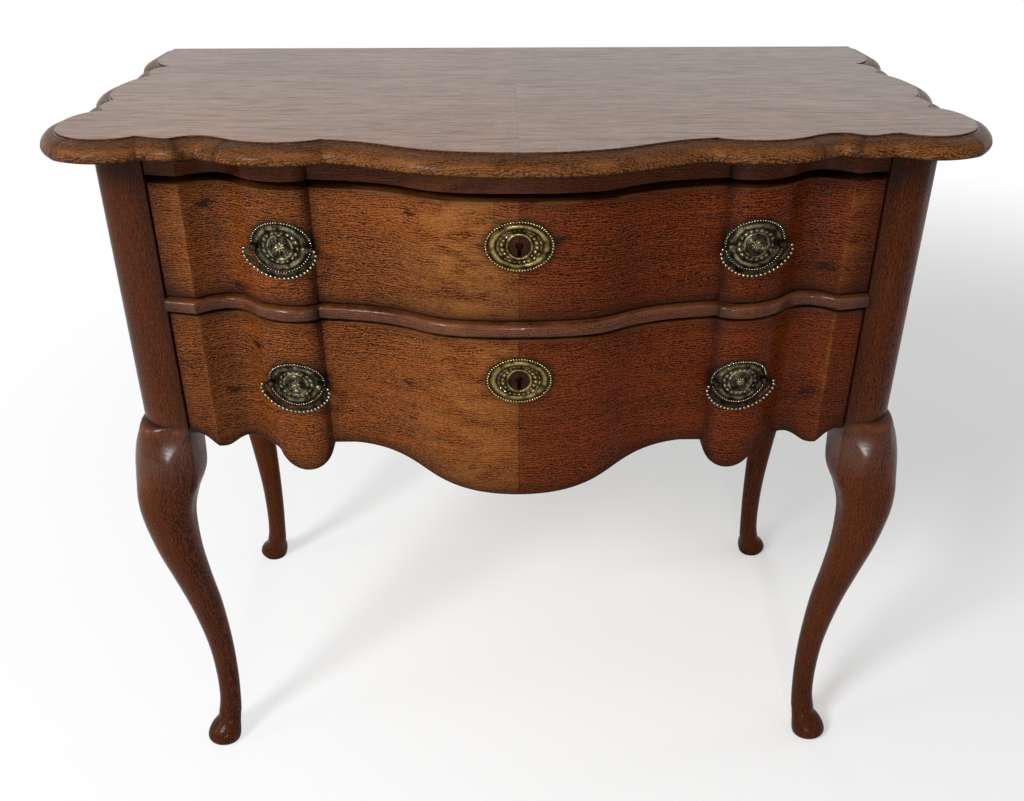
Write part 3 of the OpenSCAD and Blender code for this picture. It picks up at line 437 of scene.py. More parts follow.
print("length of the front along its curve in mm:", round(2 * front_run[-1], 1))

# %% [markdown]
# ## From points to pieces
#
# Nearly every piece here is a skin over rings of points, closed at both ends.
# One function makes such a skin, merges what coincides, turns all faces
# outwards and smooths them, except where two faces meet at an arris. A second
# one stores attributes, such as the grain and the marks and painted light and
# shade, and a third hands the piece over: it rides on its body, stands for its
# CAD node, and takes its finish.

# %% Piece helpers
MERGE, ARRIS_ANGLE = 0.00002, 35.0


def neighbours(count, closed):
    """Each step from one of some things in a row to the next."""
    return [(k, (k + 1) % count) for k in range(count if closed else count - 1)]


def new_mesh(name, points, edges=(), faces=()):
    """A mesh object over points in mm."""
    mesh = bpy.data.meshes.new(name)
    mesh.from_pydata((np.asarray(points, float) * MM).tolist(), edges, faces)
    return new_object(name, mesh)


def skin(name, rings, closed=False):
    """A mesh object over rings of points; the two ends are capped unless the rings close."""
    rings = np.asarray(rings, float)
    count, size = rings.shape[:2]
    faces = [(a * size + i, a * size + j, b * size + j, b * size + i)
             for a, b in neighbours(count, closed) for i, j in neighbours(size, True)]
    if not closed:
        faces += [tuple(range(size))[::-1], tuple(range((count - 1) * size, count * size))]
    return clean(new_mesh(name, rings.reshape(-1, 3), faces=faces))


def clean(made):
    """Merges doubles, turns faces outwards, smooths all but the arrises."""
    work = bmesh.new()
    work.from_mesh(made.data)
    bmesh.ops.remove_doubles(work, verts=work.verts, dist=MERGE)
    bmesh.ops.dissolve_degenerate(work, edges=work.edges, dist=MERGE / 4)
    bmesh.ops.recalc_face_normals(work, faces=work.faces)
    work.to_mesh(made.data)
    work.free()
    return smooth(made, ARRIS_ANGLE)


def smooth(made, arris=None):
    """Smooth shading, crisp only where two faces meet at more than the given angle."""
    made.data.shade_smooth()
    if arris:
        made.data.set_sharp_from_angle(angle=math.radians(arris))
    return made


def points_of(made):
    flat = np.empty(len(made.data.vertices) * 3)
    made.data.vertices.foreach_get("co", flat)
    return flat.reshape(-1, 3) / MM


def mark(made, name, values, vector=False):
    """Stores one attribute on the points; vectors are given in mm."""
    kept = made.data.attributes.new(name, "FLOAT_VECTOR" if vector else "FLOAT", "POINT")
    values = np.asarray(values, np.float32) * np.float32(MM if vector else 1)
    kept.data.foreach_set("vector" if vector else "value", values.ravel())


def hand_over(made, body, slot, finish, node):
    """Rides on its body, stands for its node and takes its finish."""
    made.data.materials.clear()
    made.data.materials.append(finish)
    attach(made, body)
    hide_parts(node)
    print(f"{made.name}: {len(made.data.polygons)} faces")


def join_meshes(name, parts):
    """Several loose objects become one mesh object."""
    work = bmesh.new()
    for part in parts:
        work.from_mesh(part.data)
    mesh = bpy.data.meshes.new(name)
    work.to_mesh(mesh)
    work.free()
    for part in parts:
        bpy.data.objects.remove(part)
    return new_object(name, mesh)


def near(values, place, reach):
    """1 at a place, fading with distance."""
    return np.exp(-np.abs(values - place) / reach)


print("helpers ready")

# %% [markdown]
# ## Cutting holes
#
# A joiner drills and chops holes after the board is shaped, and so does this
# script: plain cutters are taken out with a Boolean modifier that is applied at
# once, so that the piece which is handed over is one clean mesh.

# %% Cutters
BOLT_X, BOLT_Y, BOLT_DEEP, BOLT_GAP = 12.5, FACE_Y - 46, 8, 1


def prism(name, outline, axis, start, end):
    """A straight prism; the outline lies in the two other axes, in mm."""
    return skin(name, [[np.insert(np.array(p, float), axis, d) for p in outline] for d in (start, end)])


def box_at(name, low, high):
    (x0, y0, z0), (x1, y1, z1) = low, high
    return prism(name, [(x0, y0), (x1, y0), (x1, y1), (x0, y1)], 2, z0, z1)


def bake(made):
    """Applies the modifiers of a piece."""
    baked = bpy.data.meshes.new_from_object(made.evaluated_get(bpy.context.evaluated_depsgraph_get()))
    made.modifiers.clear()
    made.data = baked
    return made


def cut(made, cutters):
    """Takes the cutters out of a piece, with an exact Boolean that is applied at once."""
    tool = join_meshes("cutter", cutters)
    modifier = made.modifiers.new("holes", "BOOLEAN")
    modifier.operation, modifier.solver, modifier.object = "DIFFERENCE", "EXACT", tool
    bake(made)
    bpy.data.objects.remove(tool)
    return clean(made)


def bolt_mortise(z, depth):
    """Room in a rail for the lock's bolt, from just below the rail's underside."""
    return box_at("mortise", (-BOLT_X, BOLT_Y, z - BOLT_GAP), (BOLT_X, BOLT_Y + BOLT_DEEP, z + depth))


print("cutters ready")

# %% [markdown]
# ## Boards along the front
#
# The two rails and the two drawer fronts are all the same kind of thing: a
# board whose face follows the plan curve. Sections are taken from left to
# right; each has softened corners, more at the nose of a lip than at a drawer.
# The lower front has its own lower edge, drawn as a second set of curves.

# %% Serpentine boards
END_EASE = 0.8


def serpentine_board(name, low, high, front, back, half, nose, xs, nose_low=None):
    """Sections along x; low, front and back are functions of x, in mm."""
    nose_low = nose_low or nose
    turn_in = np.radians(np.linspace(0, 90, 6))
    shares = np.concatenate([[0.015], np.linspace(0.04, 0.96, 25), [0.985]])
    inner = half - END_EASE
    xs = np.unique(np.round(np.concatenate([-xs, xs, [-inner, inner]]), 3))
    rings = []
    for x in np.concatenate([[-half], xs[np.abs(xs) <= inner], [half]]):
        ease = END_EASE if abs(x) == half else 0.0
        y0, y1, z0, z1 = front(x) + ease, back(x) - ease, low(x) + ease, high - ease
        top_arc = [(y0 + nose - nose * math.sin(a), z1 - nose + nose * math.cos(a)) for a in turn_in]
        low_arc = [(y0 + nose_low - nose_low * math.sin(a), z0 + nose_low - nose_low * math.cos(a))
                   for a in turn_in[::-1]]
        face = [(y0, z1 - nose + (z0 + nose_low - z1 + nose) * s) for s in shares]
        rear = [(y1 - 1, z0), (y1, z0 + 1), (y1, z1 - 1), (y1 - 1, z1)]
        rings.append([(x, FACE_Y + y, z) for y, z in top_arc + face + low_arc + rear])
    return skin(name, rings)


def mark_front_board(made, low, high, front, shade_at_low_edge=0.8, shade_at_high_edge=0.6, wear=0.6, drawer=None):
    """Grain along the bow; dust and painted shade at edges, cusps and keyhole; rubbing, painted highlights and a
    painted pool of light.
    """
    x, y, z = points_of(made).T
    side, above, below, inside = np.abs(x), high - z, z - np.array([low(v) for v in x]), y - FACE_Y - front(x)
    mark(made, "grain", np.stack([run_of(x), z, inside], 1), True)
    outer = np.clip(1 - inside / 6, 0, 1)
    # Painted shade along the top edge, under what stands over it, and along the low edge.
    edges = shade_at_high_edge * np.exp(-above / 5) + shade_at_low_edge * np.exp(-below / 6)
    # Painted shade in the cusps, in the hollows of the lobes and in the gap beside the posts.
    corner = 0.75 * near(side, CUSP_X + 3, 5) + 0.3 * near(side, 286, 14) + 0.5 * near(side, HALF_OPEN - 1, 3)
    if drawer:
        key_z, handle_z = drawer["key"], drawer["handle"]
        # A drawer also gets broad painted shade over its apron, darker end panels, a darker ring round each plate and
        # a keyhole painted nearly black.
        edges = edges + 0.25 * np.exp(-below / 28) + 0.18 * (side > ARRIS_X)
        for rho in (np.hypot(x / 32, (z - key_z) / 24), np.hypot((side - LOBE_X) / 30, (z - handle_z) / 25)):
            edges = edges + 0.65 * np.exp(-((rho - 0.95) / 0.16) ** 2)
        edges = np.maximum(edges, 0.95 * (np.hypot(x, z - key_z) < 12))
    mark(made, "grime", np.clip(edges + corner, 0, 0.95) * np.clip(outer + 0.35, 0, 1))
    # Painted highlight with the rubbing on the top and bottom arrises and at the arris.
    rim = np.exp(-np.minimum(above, below) / 1.3) + 0.3 * near(side, ARRIS_X, 1.5)
    # A painted pool of lamplight on the bow left of the middle.
    painted_light = 0.42 * np.exp(-((x + 48) / 48) ** 2) * (0.6 if high < 650 else 1.0)
    mark(made, "wear", np.clip(np.clip(rim, 0, 1) * wear + painted_light, 0, 1) * outer)


RAIL_Z, UNDER_Z, MID_LOW, MID_TOP, RAIL_BACK = 735.0, 757.0, 601.0, 614.0, 52.0
top_rail = serpentine_board("top_rail_face", level(RAIL_Z), UNDER_Z, rail_at, level(RAIL_BACK), HALF_OPEN, 0.8,
                            rail_half[:, 0])
cut(top_rail, [bolt_mortise(RAIL_Z, 8)])
# Painted shade along the rail's top edge, under the top.
mark_front_board(top_rail, level(RAIL_Z), UNDER_Z, front_at, 0.5, 0.95, 0.3)
hand_over(top_rail, "case", "oak_case", oak_case, "top_rail")
middle_rail = serpentine_board("middle_rail_lip", level(MID_LOW), MID_TOP, lip_at, level(RAIL_BACK), HALF_OPEN, 3.6,
                               rail_half[:, 0], 4.2)
cut(middle_rail, [bolt_mortise(MID_LOW, 10)])
# The lip: painted shade under its nose and painted highlight along its arrises.
mark_front_board(middle_rail, level(MID_LOW), MID_TOP, lip_at, 0.7, 0.2, 0.9)
hand_over(middle_rail, "case", "oak_case", oak_lip, "middle_rail")

# %% [markdown]
# ## Drawer fronts
#
# Each front is sawn from a thick plank, hollowed behind, and takes a lock let
# in from behind, a keyhole and three lapped dovetails at either end. The wood's
# attributes come after the holes are cut, because they are worked out from
# where the points then lie. The lower front carries the shaped apron.

# %% Drawer fronts
DRAWERS = {"upper": {"low": 615.5, "high": 728.0, "seat": 614.3, "side_top": 727.0, "key": 688.0, "handle": 674.0},
           "lower": {"low": 463.0, "high": 597.0, "seat": 472.3, "side_top": 588.0, "key": 555.0, "handle": 532.0}}
SIDE_X, SIDE_T = 340.0, 12.0
LOCK_HALF, LOCK_FRONT, LOCK_DROP, KEY_R, KEY_DROP = 33, FACE_Y - 48, 62, 3.5, 12
TAILS, TAIL_FROM, TAIL_TO, TAIL_FLARE, TAIL_MARGIN = 3, FACE_Y + 22.5, FACE_Y + 9, 3, 14
edge_halves = {"upper": np.array([[0, 0], [HALF_OPEN, 0]]), "lower": np.vstack([
    bezier([[0, -38], [85, -38], [95, -2], [165, -1]], 40), [[165, -1]],
    bezier([[189, -3], [191, -38], [236, -40], [245, -13]], 36),
    bezier([[245, -13], [249, -8], [256, -8], [272, -8]], 10),
    bezier([[272, -8], [290, -5], [296, -17], [304, -16]], 14),
    bezier([[304, -16], [316, -14], [320, 0], [334, 0]], 14), [[334, 0], [HALF_OPEN, 0]]])}


def drawer_cutters(d):
    """Lock recess, keyhole and dovetail sockets."""
    top, key = d["high"], d["key"]
    found = [box_at("recess", (-LOCK_HALF, LOCK_FRONT, top - LOCK_DROP), (LOCK_HALF, FACE_Y + 12, top + 1))]
    circle = [(x, key + z) for x, z in (at_angle(a, KEY_R) for a in np.arange(-59, 240, 12.96))]
    found.append(prism("keyhole", circle + [(-1.8, key - KEY_DROP), (1.8, key - KEY_DROP)], 1, FACE_Y - 107,
                       LOCK_FRONT + 0.1))
    low = d["seat"] + TAIL_MARGIN
    pitch = (d["side_top"] - low) / TAILS
    for k in range(TAILS):
        z, w = low + (k + 0.5) * pitch, pitch * 0.27
        tail = [(TAIL_FROM, z - w), (TAIL_TO, z - w - TAIL_FLARE), (TAIL_TO, z + w + TAIL_FLARE), (TAIL_FROM, z + w)]
        found += [prism("socket", tail, 0, s * (SIDE_X - SIDE_T), s * (SIDE_X + 5)) for s in SIDES.values()]
    return found


for title, d in DRAWERS.items():
    half, edge_at = edge_halves[title], reader(edge_halves[title], d["low"])
    face = serpentine_board(f"{title}_front_veneered", edge_at, d["high"], front_at, back_at, HALF_FRONT, 1.4,
                            np.vstack([front_half, back_half, half])[:, 0])
    cut(face, drawer_cutters(d))
    mark_front_board(face, edge_at, d["high"], front_at, drawer=d)
    hand_over(face, f"{title}_drawer", "oak_front", oak_front, f"{title}_drawer_front")

# %% [markdown]
# ## The top board
#
# The top is one broad board with a thumb moulding cut round three sides. Each
# half of its outline runs in and out along twelve curves. Sweeping a profile would
# tear at the cusps, so the moulding is built as rings: each ring is the flat's
# outline pushed outwards by a share of the moulding's width. The direction of
# that push turns gradually near a cusp, which gives the crisp valleys that a
# carver cuts there.

# %% Outline of the top
MOULD_W, TOP_Z, TOP_T, QUIRK, FLAT_BACK, HALF_FLAT, FAN, FAR = 19.0, 775.0, 18.0, 2.0, 432.0, 428.0, 34.0, 99.0
top_curves = [
    [[0, -78], [102, -78], [107, -40], [173, -31]], [[173, -31], [190, -43], [225, -47], [255, -28]],
    [[255, -28], [267, -20.4], [284, -6], [304, -24]], [[304, -24], [314, -28], [322, -19.5], [338, -16.5]],
    [[338, -16.5], [352, -31], [378, -33], [396, -19]], [[396, -19], [412, -7], [421, 10], [422, 34]],
    [[422, 34], [423, 60], [415, 78], [399, 85]], [[399, 85], [409, 92], [412, 112], [405, 132]],
    [[405, 132], [418, 150], [436, 203], [406, 258]], [[406, 258], [413, 270], [424, 300], [400, 314]],
    [[400, 314], [413, 318], [427, 340], [HALF_FLAT, 368]],
    [[HALF_FLAT, 368], [HALF_FLAT, 389.3], [HALF_FLAT, 410.7], [HALF_FLAT, FLAT_BACK]]]
mould_shares = [1, 1, 1, 1, 1.05, 1, 0.86, 0.9, 0.86, 0.9, 0.9, 1, 1]


def unit(v):
    return v / max(np.linalg.norm(v), 1e-6)


def outward(p, t):
    """The direction square to a curve at t, away from the board."""
    p = np.array(p, float)
    x, y = 3 * (1 - t) ** 2 * (p[1] - p[0]) + 6 * (1 - t) * t * (p[2] - p[1]) + 3 * t * t * (p[3] - p[2])
    return unit(np.array([y, -x]))


def fade(s):
    """1 at the end of a curve, 0 from a distance of FAN on."""
    b = max(0.0, 1 - s / FAN)
    return b * b * (3 - 2 * b)


ends = [np.array([0.0, -1.0])]
ends += [unit(outward(a, 1) + outward(b, 0)) for a, b in zip(top_curves, top_curves[1:])]
ends.append(np.array([1.0, 0.0]))
half_ring = []
for k, c in enumerate(top_curves):
    span = np.linalg.norm(np.subtract(c[3], c[0]))
    steps = 26 if span > 90 else 18
    for i, point in enumerate(bezier(c, steps)):
        t = i / steps
        n = outward(c, t)
        way = unit(n + (ends[k] - n) * fade(t * span) + (ends[k + 1] - n) * fade((1 - t) * span))
        share = mould_shares[k] + (mould_shares[k + 1] - mould_shares[k]) * t - (0.6 * t * (1 - t) if k == 5 else 0)
        half_ring.append([*point, *(way * share), min(t, 1 - t) * span if 0 < k < 11 else FAR])
half_ring = np.array(half_ring + [[HALF_FLAT, FLAT_BACK, 1, 0, FAR]])
mirrored = half_ring[1:] * [-1, 1, -1, 1, 1]
ring = np.vstack([[[0, FLAT_BACK, 0, 0, FAR]], half_ring[::-1], mirrored])
loop, push, valley = ring[:, :2], ring[:, 2:4], ring[:, 4]
print("points round the top:", len(loop))

# %% Top board
profile = [(0, 0), (0.004, 0.25), (0.012, QUIRK - 0.2)]
profile += [(share, QUIRK + drop) for share, drop in (
    (0.03, 0), (0.12, 0.05), (0.22, 0.25), (0.34, 0.65), (0.46, 1.2), (0.58, 2), (0.69, 3.1), (0.79, 4.5),
    (0.87, 5.9), (0.93, 7.4), (0.97, 9), (1, 11), (0.995, 12.2), (0.975, 13.4), (0.935, 14.5), (0.88, 15.4))]
profile.append((0.78, TOP_T))


def numbers_near(targets, places):
    """For each place, the number of its nearest target and the distance to it."""
    tree = kdtree.KDTree(len(targets))
    for i, target in enumerate(targets):
        tree.insert(target, i)
    tree.balance()
    found = [tree.find(place) for place in places]
    return [i for _, i, _ in found], np.array([gap for _, _, gap in found])


rings = [[(x - dx * pull, y - (dy * pull if y < FLAT_BACK - 1 else 0) + FACE_Y, TOP_Z)
          for (x, y), (dx, dy) in zip(loop, push)] for pull in (7.0, 3.0, 1.0)]
rings += [[(x + dx * MOULD_W * share, y + dy * MOULD_W * share + FACE_Y, TOP_Z - down)
           for (x, y), (dx, dy) in zip(loop, push)] for share, down in profile]
top_board = skin("top_board_moulded", rings)
top_points = points_of(top_board)
nearest, gap = numbers_near(np.column_stack([loop + [0, FACE_Y], 0 * valley]), top_points * [1, 1, 0])
cusp = np.exp(-valley[nearest] / 2.2)
down = TOP_Z - top_points[:, 2]
on_mould = down > 0.1
in_quirk = np.exp(-np.abs(down - QUIRK) / 0.8) * np.exp(-gap / 2.5) * on_mould
mark(top_board, "grain", top_points, True)
# Painted shade in the quirk, in the valleys and on the underside of the moulding; a little darker near the flat's
# edge.
mark(top_board, "grime", np.clip(in_quirk * 1.1 + 0.65 * cusp * on_mould + 0.8 * (down > 16.5)
                                 + 0.35 * (~on_mould) * np.exp(-gap / 5), 0, 0.95))
# Painted highlight: a thin light line at the flat's edge and a band on the nose of the moulding.
mark(top_board, "wear", 0.6 * (~on_mould) * np.exp(-gap / 2.0) + 0.35 * on_mould * np.exp(-np.abs(down - 8) / 3))
hand_over(top_board, "case", "oak_top", oak_top, "top_board")
top_board.data.materials.append(oak_edge)
for face in top_board.data.polygons:
    face.material_index = 0 if face.normal.z > 0.999 else 1

# %% [markdown]
# ## Legs that are posts above and cabrioles below
#
# Each leg is sawn and carved from one length of oak, from the floor to the top
# board. A section that changes all the way down describes it: four corners,
# each an arc with its own radius. The table says how far the outer side stands
# beyond the post, how far the inner side is cut back, and how round the
# corners are, and a smooth curve through those rows gives as many sections as
# the eye needs. The ledge where the knee begins is three rows close together.
# The foot is a small pad whose toe leans outwards, so each of its slices also
# says how far its middle is drawn back.

# %% Legs
POST, POST_ROUND, SHOULDER, KNEE, ANKLE, FOOT = 54.0, 38.0, 465.0, 17.0, 26.0, 41.0
POST_BACK, TONGUE, BACK_T, ARC, BACK_SPLAY = 239.5, 8.0, 12.0, 9, (12, 25)
SLIM = POST - ANKLE
leg_line = np.array([
    [0.985, 7, 0, 0.58, 0.08, 0.04], [0.93, KNEE - 4.5, 0, 0.52, 0.16, 0.12], [0.86, KNEE - 1, 1, 0.5, 0.26, 0.19],
    [0.81, KNEE, 9.5, 0.5, 0.34, 0.26], [0.755, KNEE - 2, 15, 0.5, 0.4, 0.33],
    [0.66, KNEE - 9, 15.5, 0.5, 0.45, 0.4], [0.56, KNEE - 19, 12.5, 0.5, 0.48, 0.44],
    [0.45, KNEE - 29, 7.5, 0.5, 0.5, 0.48], [0.32, KNEE - 37.5, SLIM - 23, 0.5, 0.5, 0.5],
    [0.215, KNEE - 40, SLIM - 23, 0.5, 0.5, 0.5], [0.13, KNEE - 39, SLIM - 21.5, 0.5, 0.5, 0.5],
    [0.078, KNEE - 35, SLIM - 20, 0.5, 0.5, 0.5]])
foot_slices = np.array([[32, 0.66, -8.0], [27, 0.74, -6.0], [21, 0.87, -3.0], [15, 0.96, -1.0], [9, 0.99, 0.0],
                        [4, 0.93, -0.5], [0, 0.80, -2.0]])
foot_centre = (POST + leg_line[-1, 1] + leg_line[-1, 2]) / 2 + 8.5


def smooth_rows(rows, steps):
    """A Catmull-Rom curve through all rows of a table."""
    padded = np.vstack([rows[0], rows, rows[-1]])
    found = []
    for a, b, c, d in zip(padded, padded[1:], padded[2:], padded[3:]):
        for t in np.arange(steps) / steps:
            found.append(0.5 * (2 * b + (c - a) * t + (2 * a - 5 * b + 4 * c - d) * t * t
                                + (3 * b - a - 3 * c + d) * t ** 3))
    return np.array(found + [rows[-1]])


def section(low, high, outer, side, inner, z, flat=0.0):
    """Four corner arcs; radii are shares of the section's width, the outer corner lies at +u +v."""
    w = high - low
    long = side + (0.5 - side) * flat
    corners = [(high - outer * w, high - outer * w, outer, outer, 0),
               (low + long * w, high - side * w, long, side, 90),
               (low + inner * w, low + inner * w, inner, inner, 180),
               (high - side * w, low + long * w, side, long, 270)]
    return [(u + at_angle(a + s, ru * w)[0], v + at_angle(a + s, rv * w)[1], z)
            for u, v, ru, rv, a in corners for s in np.linspace(0, 90, ARC)]


def swell(u, v, z, out):
    """The knee grows out of the post: flush at its inner corners, proud at the outer one."""
    def grown(across, along):
        missing = 1 - min(1.0, max(0.0, 1.25 * along / POST + (SHOULDER - z) / 70.0 - 0.1))
        return across - max(0.0, out) * missing * max(0.0, 2 * across / (POST + out) - 1) ** 2
    return grown(u, v), grown(v, u), z


def rebated(ring):
    """The same ring with its inner back corner cut out, where the back boards lie."""
    floor_v = POST - BACK_T
    steps = ([(TONGUE, POST - BACK_T * i / 3) for i in range(4)]
             + [(TONGUE * i / 3, floor_v) for i in (2, 1, 0)] + [(0, floor_v - 1), (0, floor_v - 2)])
    return ring[:ARC] + [(u, v, ring[0][2]) for u, v in steps] + ring[2 * ARC:]


def splayed(ring, splay):
    """The same ring moved outwards, more the lower it lies."""
    z = ring[0][2]
    dx, dy = np.array(splay) * max(0.0, 1 - z / (SHOULDER * 0.8)) ** 0.8
    return [(u + dx, v + dy, z) for u, v, _ in ring]


def leg_rings(splay, at_back):
    rings = [section(0, POST, POST_ROUND / POST, 0.02, 0.015, z)
             for z in (UNDER_Z, 700.0, 640.0, 580.0, 520.0, 485.0, 476.0, 471.5, 469.6)]
    if at_back:
        rings = [rebated(ring) for ring in rings]
    for z, out, ro, rs in ((469.0, 2.2, 0.64, 0.03), (467.4, 4.4, 0.62, 0.05), (464.0, 5.8, 0.60, 0.06)):
        rings.append([swell(*p, out) for p in section(0, POST + out, ro, rs, 0.03, z)])
    for share, out, inner, ro, rs, ri in smooth_rows(leg_line, 7):
        flat = min(1.0, max(0.0, (0.99 - share) / 0.09))
        ring = section(max(0, inner), POST + out, ro, rs, ri, share * SHOULDER, flat)
        rings.append(splayed([swell(*p, out) for p in ring], splay))
    for z, share, lean in smooth_rows(foot_slices, 5):
        h, c = FOOT * share / 2, foot_centre + lean
        rings.append(splayed(section(c - h, c + h, 0.5, 0.46, 0.5, z), splay))
    return np.array(rings)


for row, side_y, sign_y, splay in (("front", FACE_Y + POST, -1, (0, 0)), ("back", POST_BACK - POST, 1, BACK_SPLAY)):
    for side, sign_x in SIDES.items():
        rings = leg_rings(splay, row == "back")
        rings[:, :, 0] = sign_x * (HALF_OPEN + rings[:, :, 0])
        rings[:, :, 1] = side_y + sign_y * rings[:, :, 1]
        leg = skin(f"leg_{row}_{side}_carved", rings)
        x, y, z = points_of(leg).T
        u, v = sign_x * x - HALF_OPEN, sign_y * (y - side_y)
        mark(leg, "grain", np.stack([z + (100 * sign_x + 60 * sign_y), u * sign_x, v], 1), True)
        # Painted shade: in the crease of the ledge, under the top, on the inner side above the knee and at the sole.
        ledge = 0.95 * near(z, 470, 1.6) * (z > 468.6) * (np.maximum(u, v) > 30)
        under_top = 0.85 * np.exp(-(UNDER_Z - z) / 9)
        inner_side = 0.75 * np.exp(-np.minimum(np.abs(u), 99) / 5) * (z > 452) * (v > 25)
        sole = 0.8 * np.exp(-z / 5)
        mark(leg, "grime", np.clip(np.maximum.reduce([ledge, under_top, inner_side, sole]), 0, 0.95))
        # Painted highlight: a line below the ledge and a streak down the ridge of the knee.
        mark(leg, "wear", 0.5 * near(z, 464.5, 2.5) * (np.maximum(u, v) > 40)
             + 0.45 * near(z, 405, 40) * near(u, v, 14) * (u > 35))
        mark(leg, "polish", 0.4 * np.exp(-((z - 440) / 26) ** 2))
        hand_over(leg, "case", "oak_case", oak_case, f"leg_{row}_{side}")

# %% [markdown]
# ## Plain boards with eased edges
#
# Behind the shaped pieces lies honest board work: side panels, back boards,
# runners, guides, drawer sides. Their shapes are already right in the frame, so
# each is copied, its doubles are merged, and a small bevel takes the razor
# edge off. What the copy gains is a highlight on every arris and an attribute
# that lays the grain along the board's own length. A board that is darker near
# its long edges is also cut into strips there, so that the darkening has points to lie on.

# %% Eased boards
BEVEL_FROM, CRISP_FROM, DARKENING_REACH = math.radians(40), 20, 12
INSIDE = ("oak_inside", oak_bare)


def eased(node, body, slot, finish, along, ease=0.6, darkening=0.0):
    """A copy of a node with softened arrises; along is the axis of the grain, 0, 1 or 2."""
    made = new_object(f"{node}_eased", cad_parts[node].data.copy())
    work = bmesh.new()
    work.from_mesh(made.data)
    bmesh.ops.remove_doubles(work, verts=work.verts, dist=0.00001)
    bmesh.ops.dissolve_limit(work, angle_limit=math.radians(0.6), verts=work.verts, edges=work.edges)
    if ease:
        sharp = [e for e in work.edges if len(e.link_faces) == 2 and e.calc_face_angle(0) > BEVEL_FROM]
        bmesh.ops.bevel(work, geom=sharp, offset=ease * MM, offset_type="OFFSET", segments=2, profile=0.5,
                        affect="EDGES", clamp_overlap=True)
    low, high = (np.array(v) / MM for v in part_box(node))
    order = [along] + [k for k in range(3) if k != along]
    across = max(order[:0:-1], key=lambda k: high[k] - low[k])
    way = Vector([float(k == across) for k in range(3)])
    for reach in (4.0, 12.0, 30.0) if darkening else ():
        for line in (low[across] + reach, high[across] - reach):
            bmesh.ops.bisect_plane(work, geom=work.verts[:] + work.edges[:] + work.faces[:], dist=1e-6,
                                   plane_co=way * (line * MM), plane_no=way)
    bmesh.ops.recalc_face_normals(work, faces=work.faces)
    work.to_mesh(made.data)
    work.free()
    smooth(made, CRISP_FROM)
    places = points_of(made)
    shift = 37.0 * (sum(map(ord, node)) % 17)
    mark(made, "grain", places[:, order] + [shift, shift / 3, 0], True)
    from_edge = np.minimum(places - low, high - places)[:, across]
    mark(made, "grime", np.clip(darkening * np.exp(-from_edge / DARKENING_REACH), 0, 1))
    mark(made, "wear", np.zeros(len(places)))
    hand_over(made, body, slot, finish, node)


for side in SIDES:
    eased(f"side_panel_{side}", "case", "oak_case", oak_case, 1, 0.8, 0.5)
for title in DRAWERS:
    eased(f"back_board_{title}", "case", *INSIDE, 0, 0.8, 0.4)
    for side in SIDES:
        eased(f"runner_{title}_{side}", "case", *INSIDE, 1)
        eased(f"guide_{title}_{side}", "case", *INSIDE, 1)
        eased(f"{title}_drawer_side_{side}", f"{title}_drawer", *INSIDE, 1, 0.5, 0.3)
    eased(f"{title}_drawer_back", f"{title}_drawer", *INSIDE, 0, 0.5, 0.3)
    eased(f"{title}_drawer_bottom", f"{title}_drawer", *INSIDE, 0, 0.0, 0.3)
for side in SIDES:
    eased(f"kicker_{side}", "case", *INSIDE, 1)
for node, along, ease in (("bottom_rail", 0, 0.6), ("drawer_stops", 0, 0.5), ("glue_blocks", 0, 0.8)):
    eased(node, "case", *INSIDE, along, ease)

# %% [markdown]
# ## Beads in a row
#
# The bails and the rims of the plates are edged with beads. A bead row is the
# best case for Geometry Nodes: one small ball, repeated along a line at equal
# steps, a little uneven in size as old castings are. The tree takes the line,
# the number and radius of beads and the finish. Its result is realised and
# baked to a plain mesh, because an exported model keeps no instances.

# %% Bead tree
def new_modifier_tree(name, inputs):
    """An empty Geometry Nodes tree; returns the tree, its inputs and its output node."""
    tree = bpy.data.node_groups.new(name, "GeometryNodeTree")
    tree.is_modifier = True
    for label, kind, value in inputs:
        socket = tree.interface.new_socket(name=label, in_out="INPUT", socket_type="NodeSocket" + kind)
        if value is not None:
            socket.default_value = value
    tree.interface.new_socket(name="Geometry", in_out="OUTPUT", socket_type="NodeSocketGeometry")
    return tree, tree.nodes.new("NodeGroupInput").outputs, tree.nodes.new("NodeGroupOutput")


def shape(kind, settings=None, **inputs):
    """A geometry node and its first output."""
    return add(tree_of(*inputs.values()), "GeometryNode" + kind, settings, **inputs).outputs[0]


def chance(low, high, seed):
    """A random number for each point, from a seed."""
    return add(seed.id_data, "FunctionNodeRandomValue", {"data_type": "FLOAT"}, i2=low, i3=high, Seed=seed).outputs[1]


def finish_tree(instances, material, result):
    """The same end for every tree: smooth, realised, with its finish."""
    real = shape("RealizeInstances", Geometry=shape("SetShadeSmooth", Geometry=instances))
    feed(result, Geometry=shape("SetMaterial", Geometry=real, Material=material))


beads, given, result = new_modifier_tree("bead_row", [
    ("Line", "Geometry", None), ("Bead count", "Int", 40), ("Bead radius", "Float", 0.001),
    ("Unevenness", "Float", 0.08), ("Seed", "Int", 3), ("Finish", "Material", None)])
line = shape("MeshToCurve", Mesh=given["Line"])
line = shape("ResampleCurve", {"mode": "COUNT"}, Curve=line, Count=given["Bead count"])
ball = shape("MeshIcoSphere", Radius=given["Bead radius"], Subdivisions=2)
size = chance(minus(1.0, given["Unevenness"]), 1.0, given["Seed"])
finish_tree(shape("InstanceOnPoints", Points=line, Instance=ball, Scale=size), given["Finish"], result)


def grow(name, points, tree, closed=False, edges=True, **values):
    """Runs a tree over points in mm, joined by edges if it needs a line, and bakes the result."""
    made = new_mesh(name, points, neighbours(len(points), closed) if edges else [])
    modifier = made.modifiers.new("nodes", "NODES")
    modifier.node_group = tree
    names = {item.name: item.identifier for item in tree.interface.items_tree if item.in_out == "INPUT"}
    for label, value in values.items():
        modifier[names[label.replace("_", " ")]] = value
    return bake(made)


print("bead_row:", len(beads.nodes), "nodes")

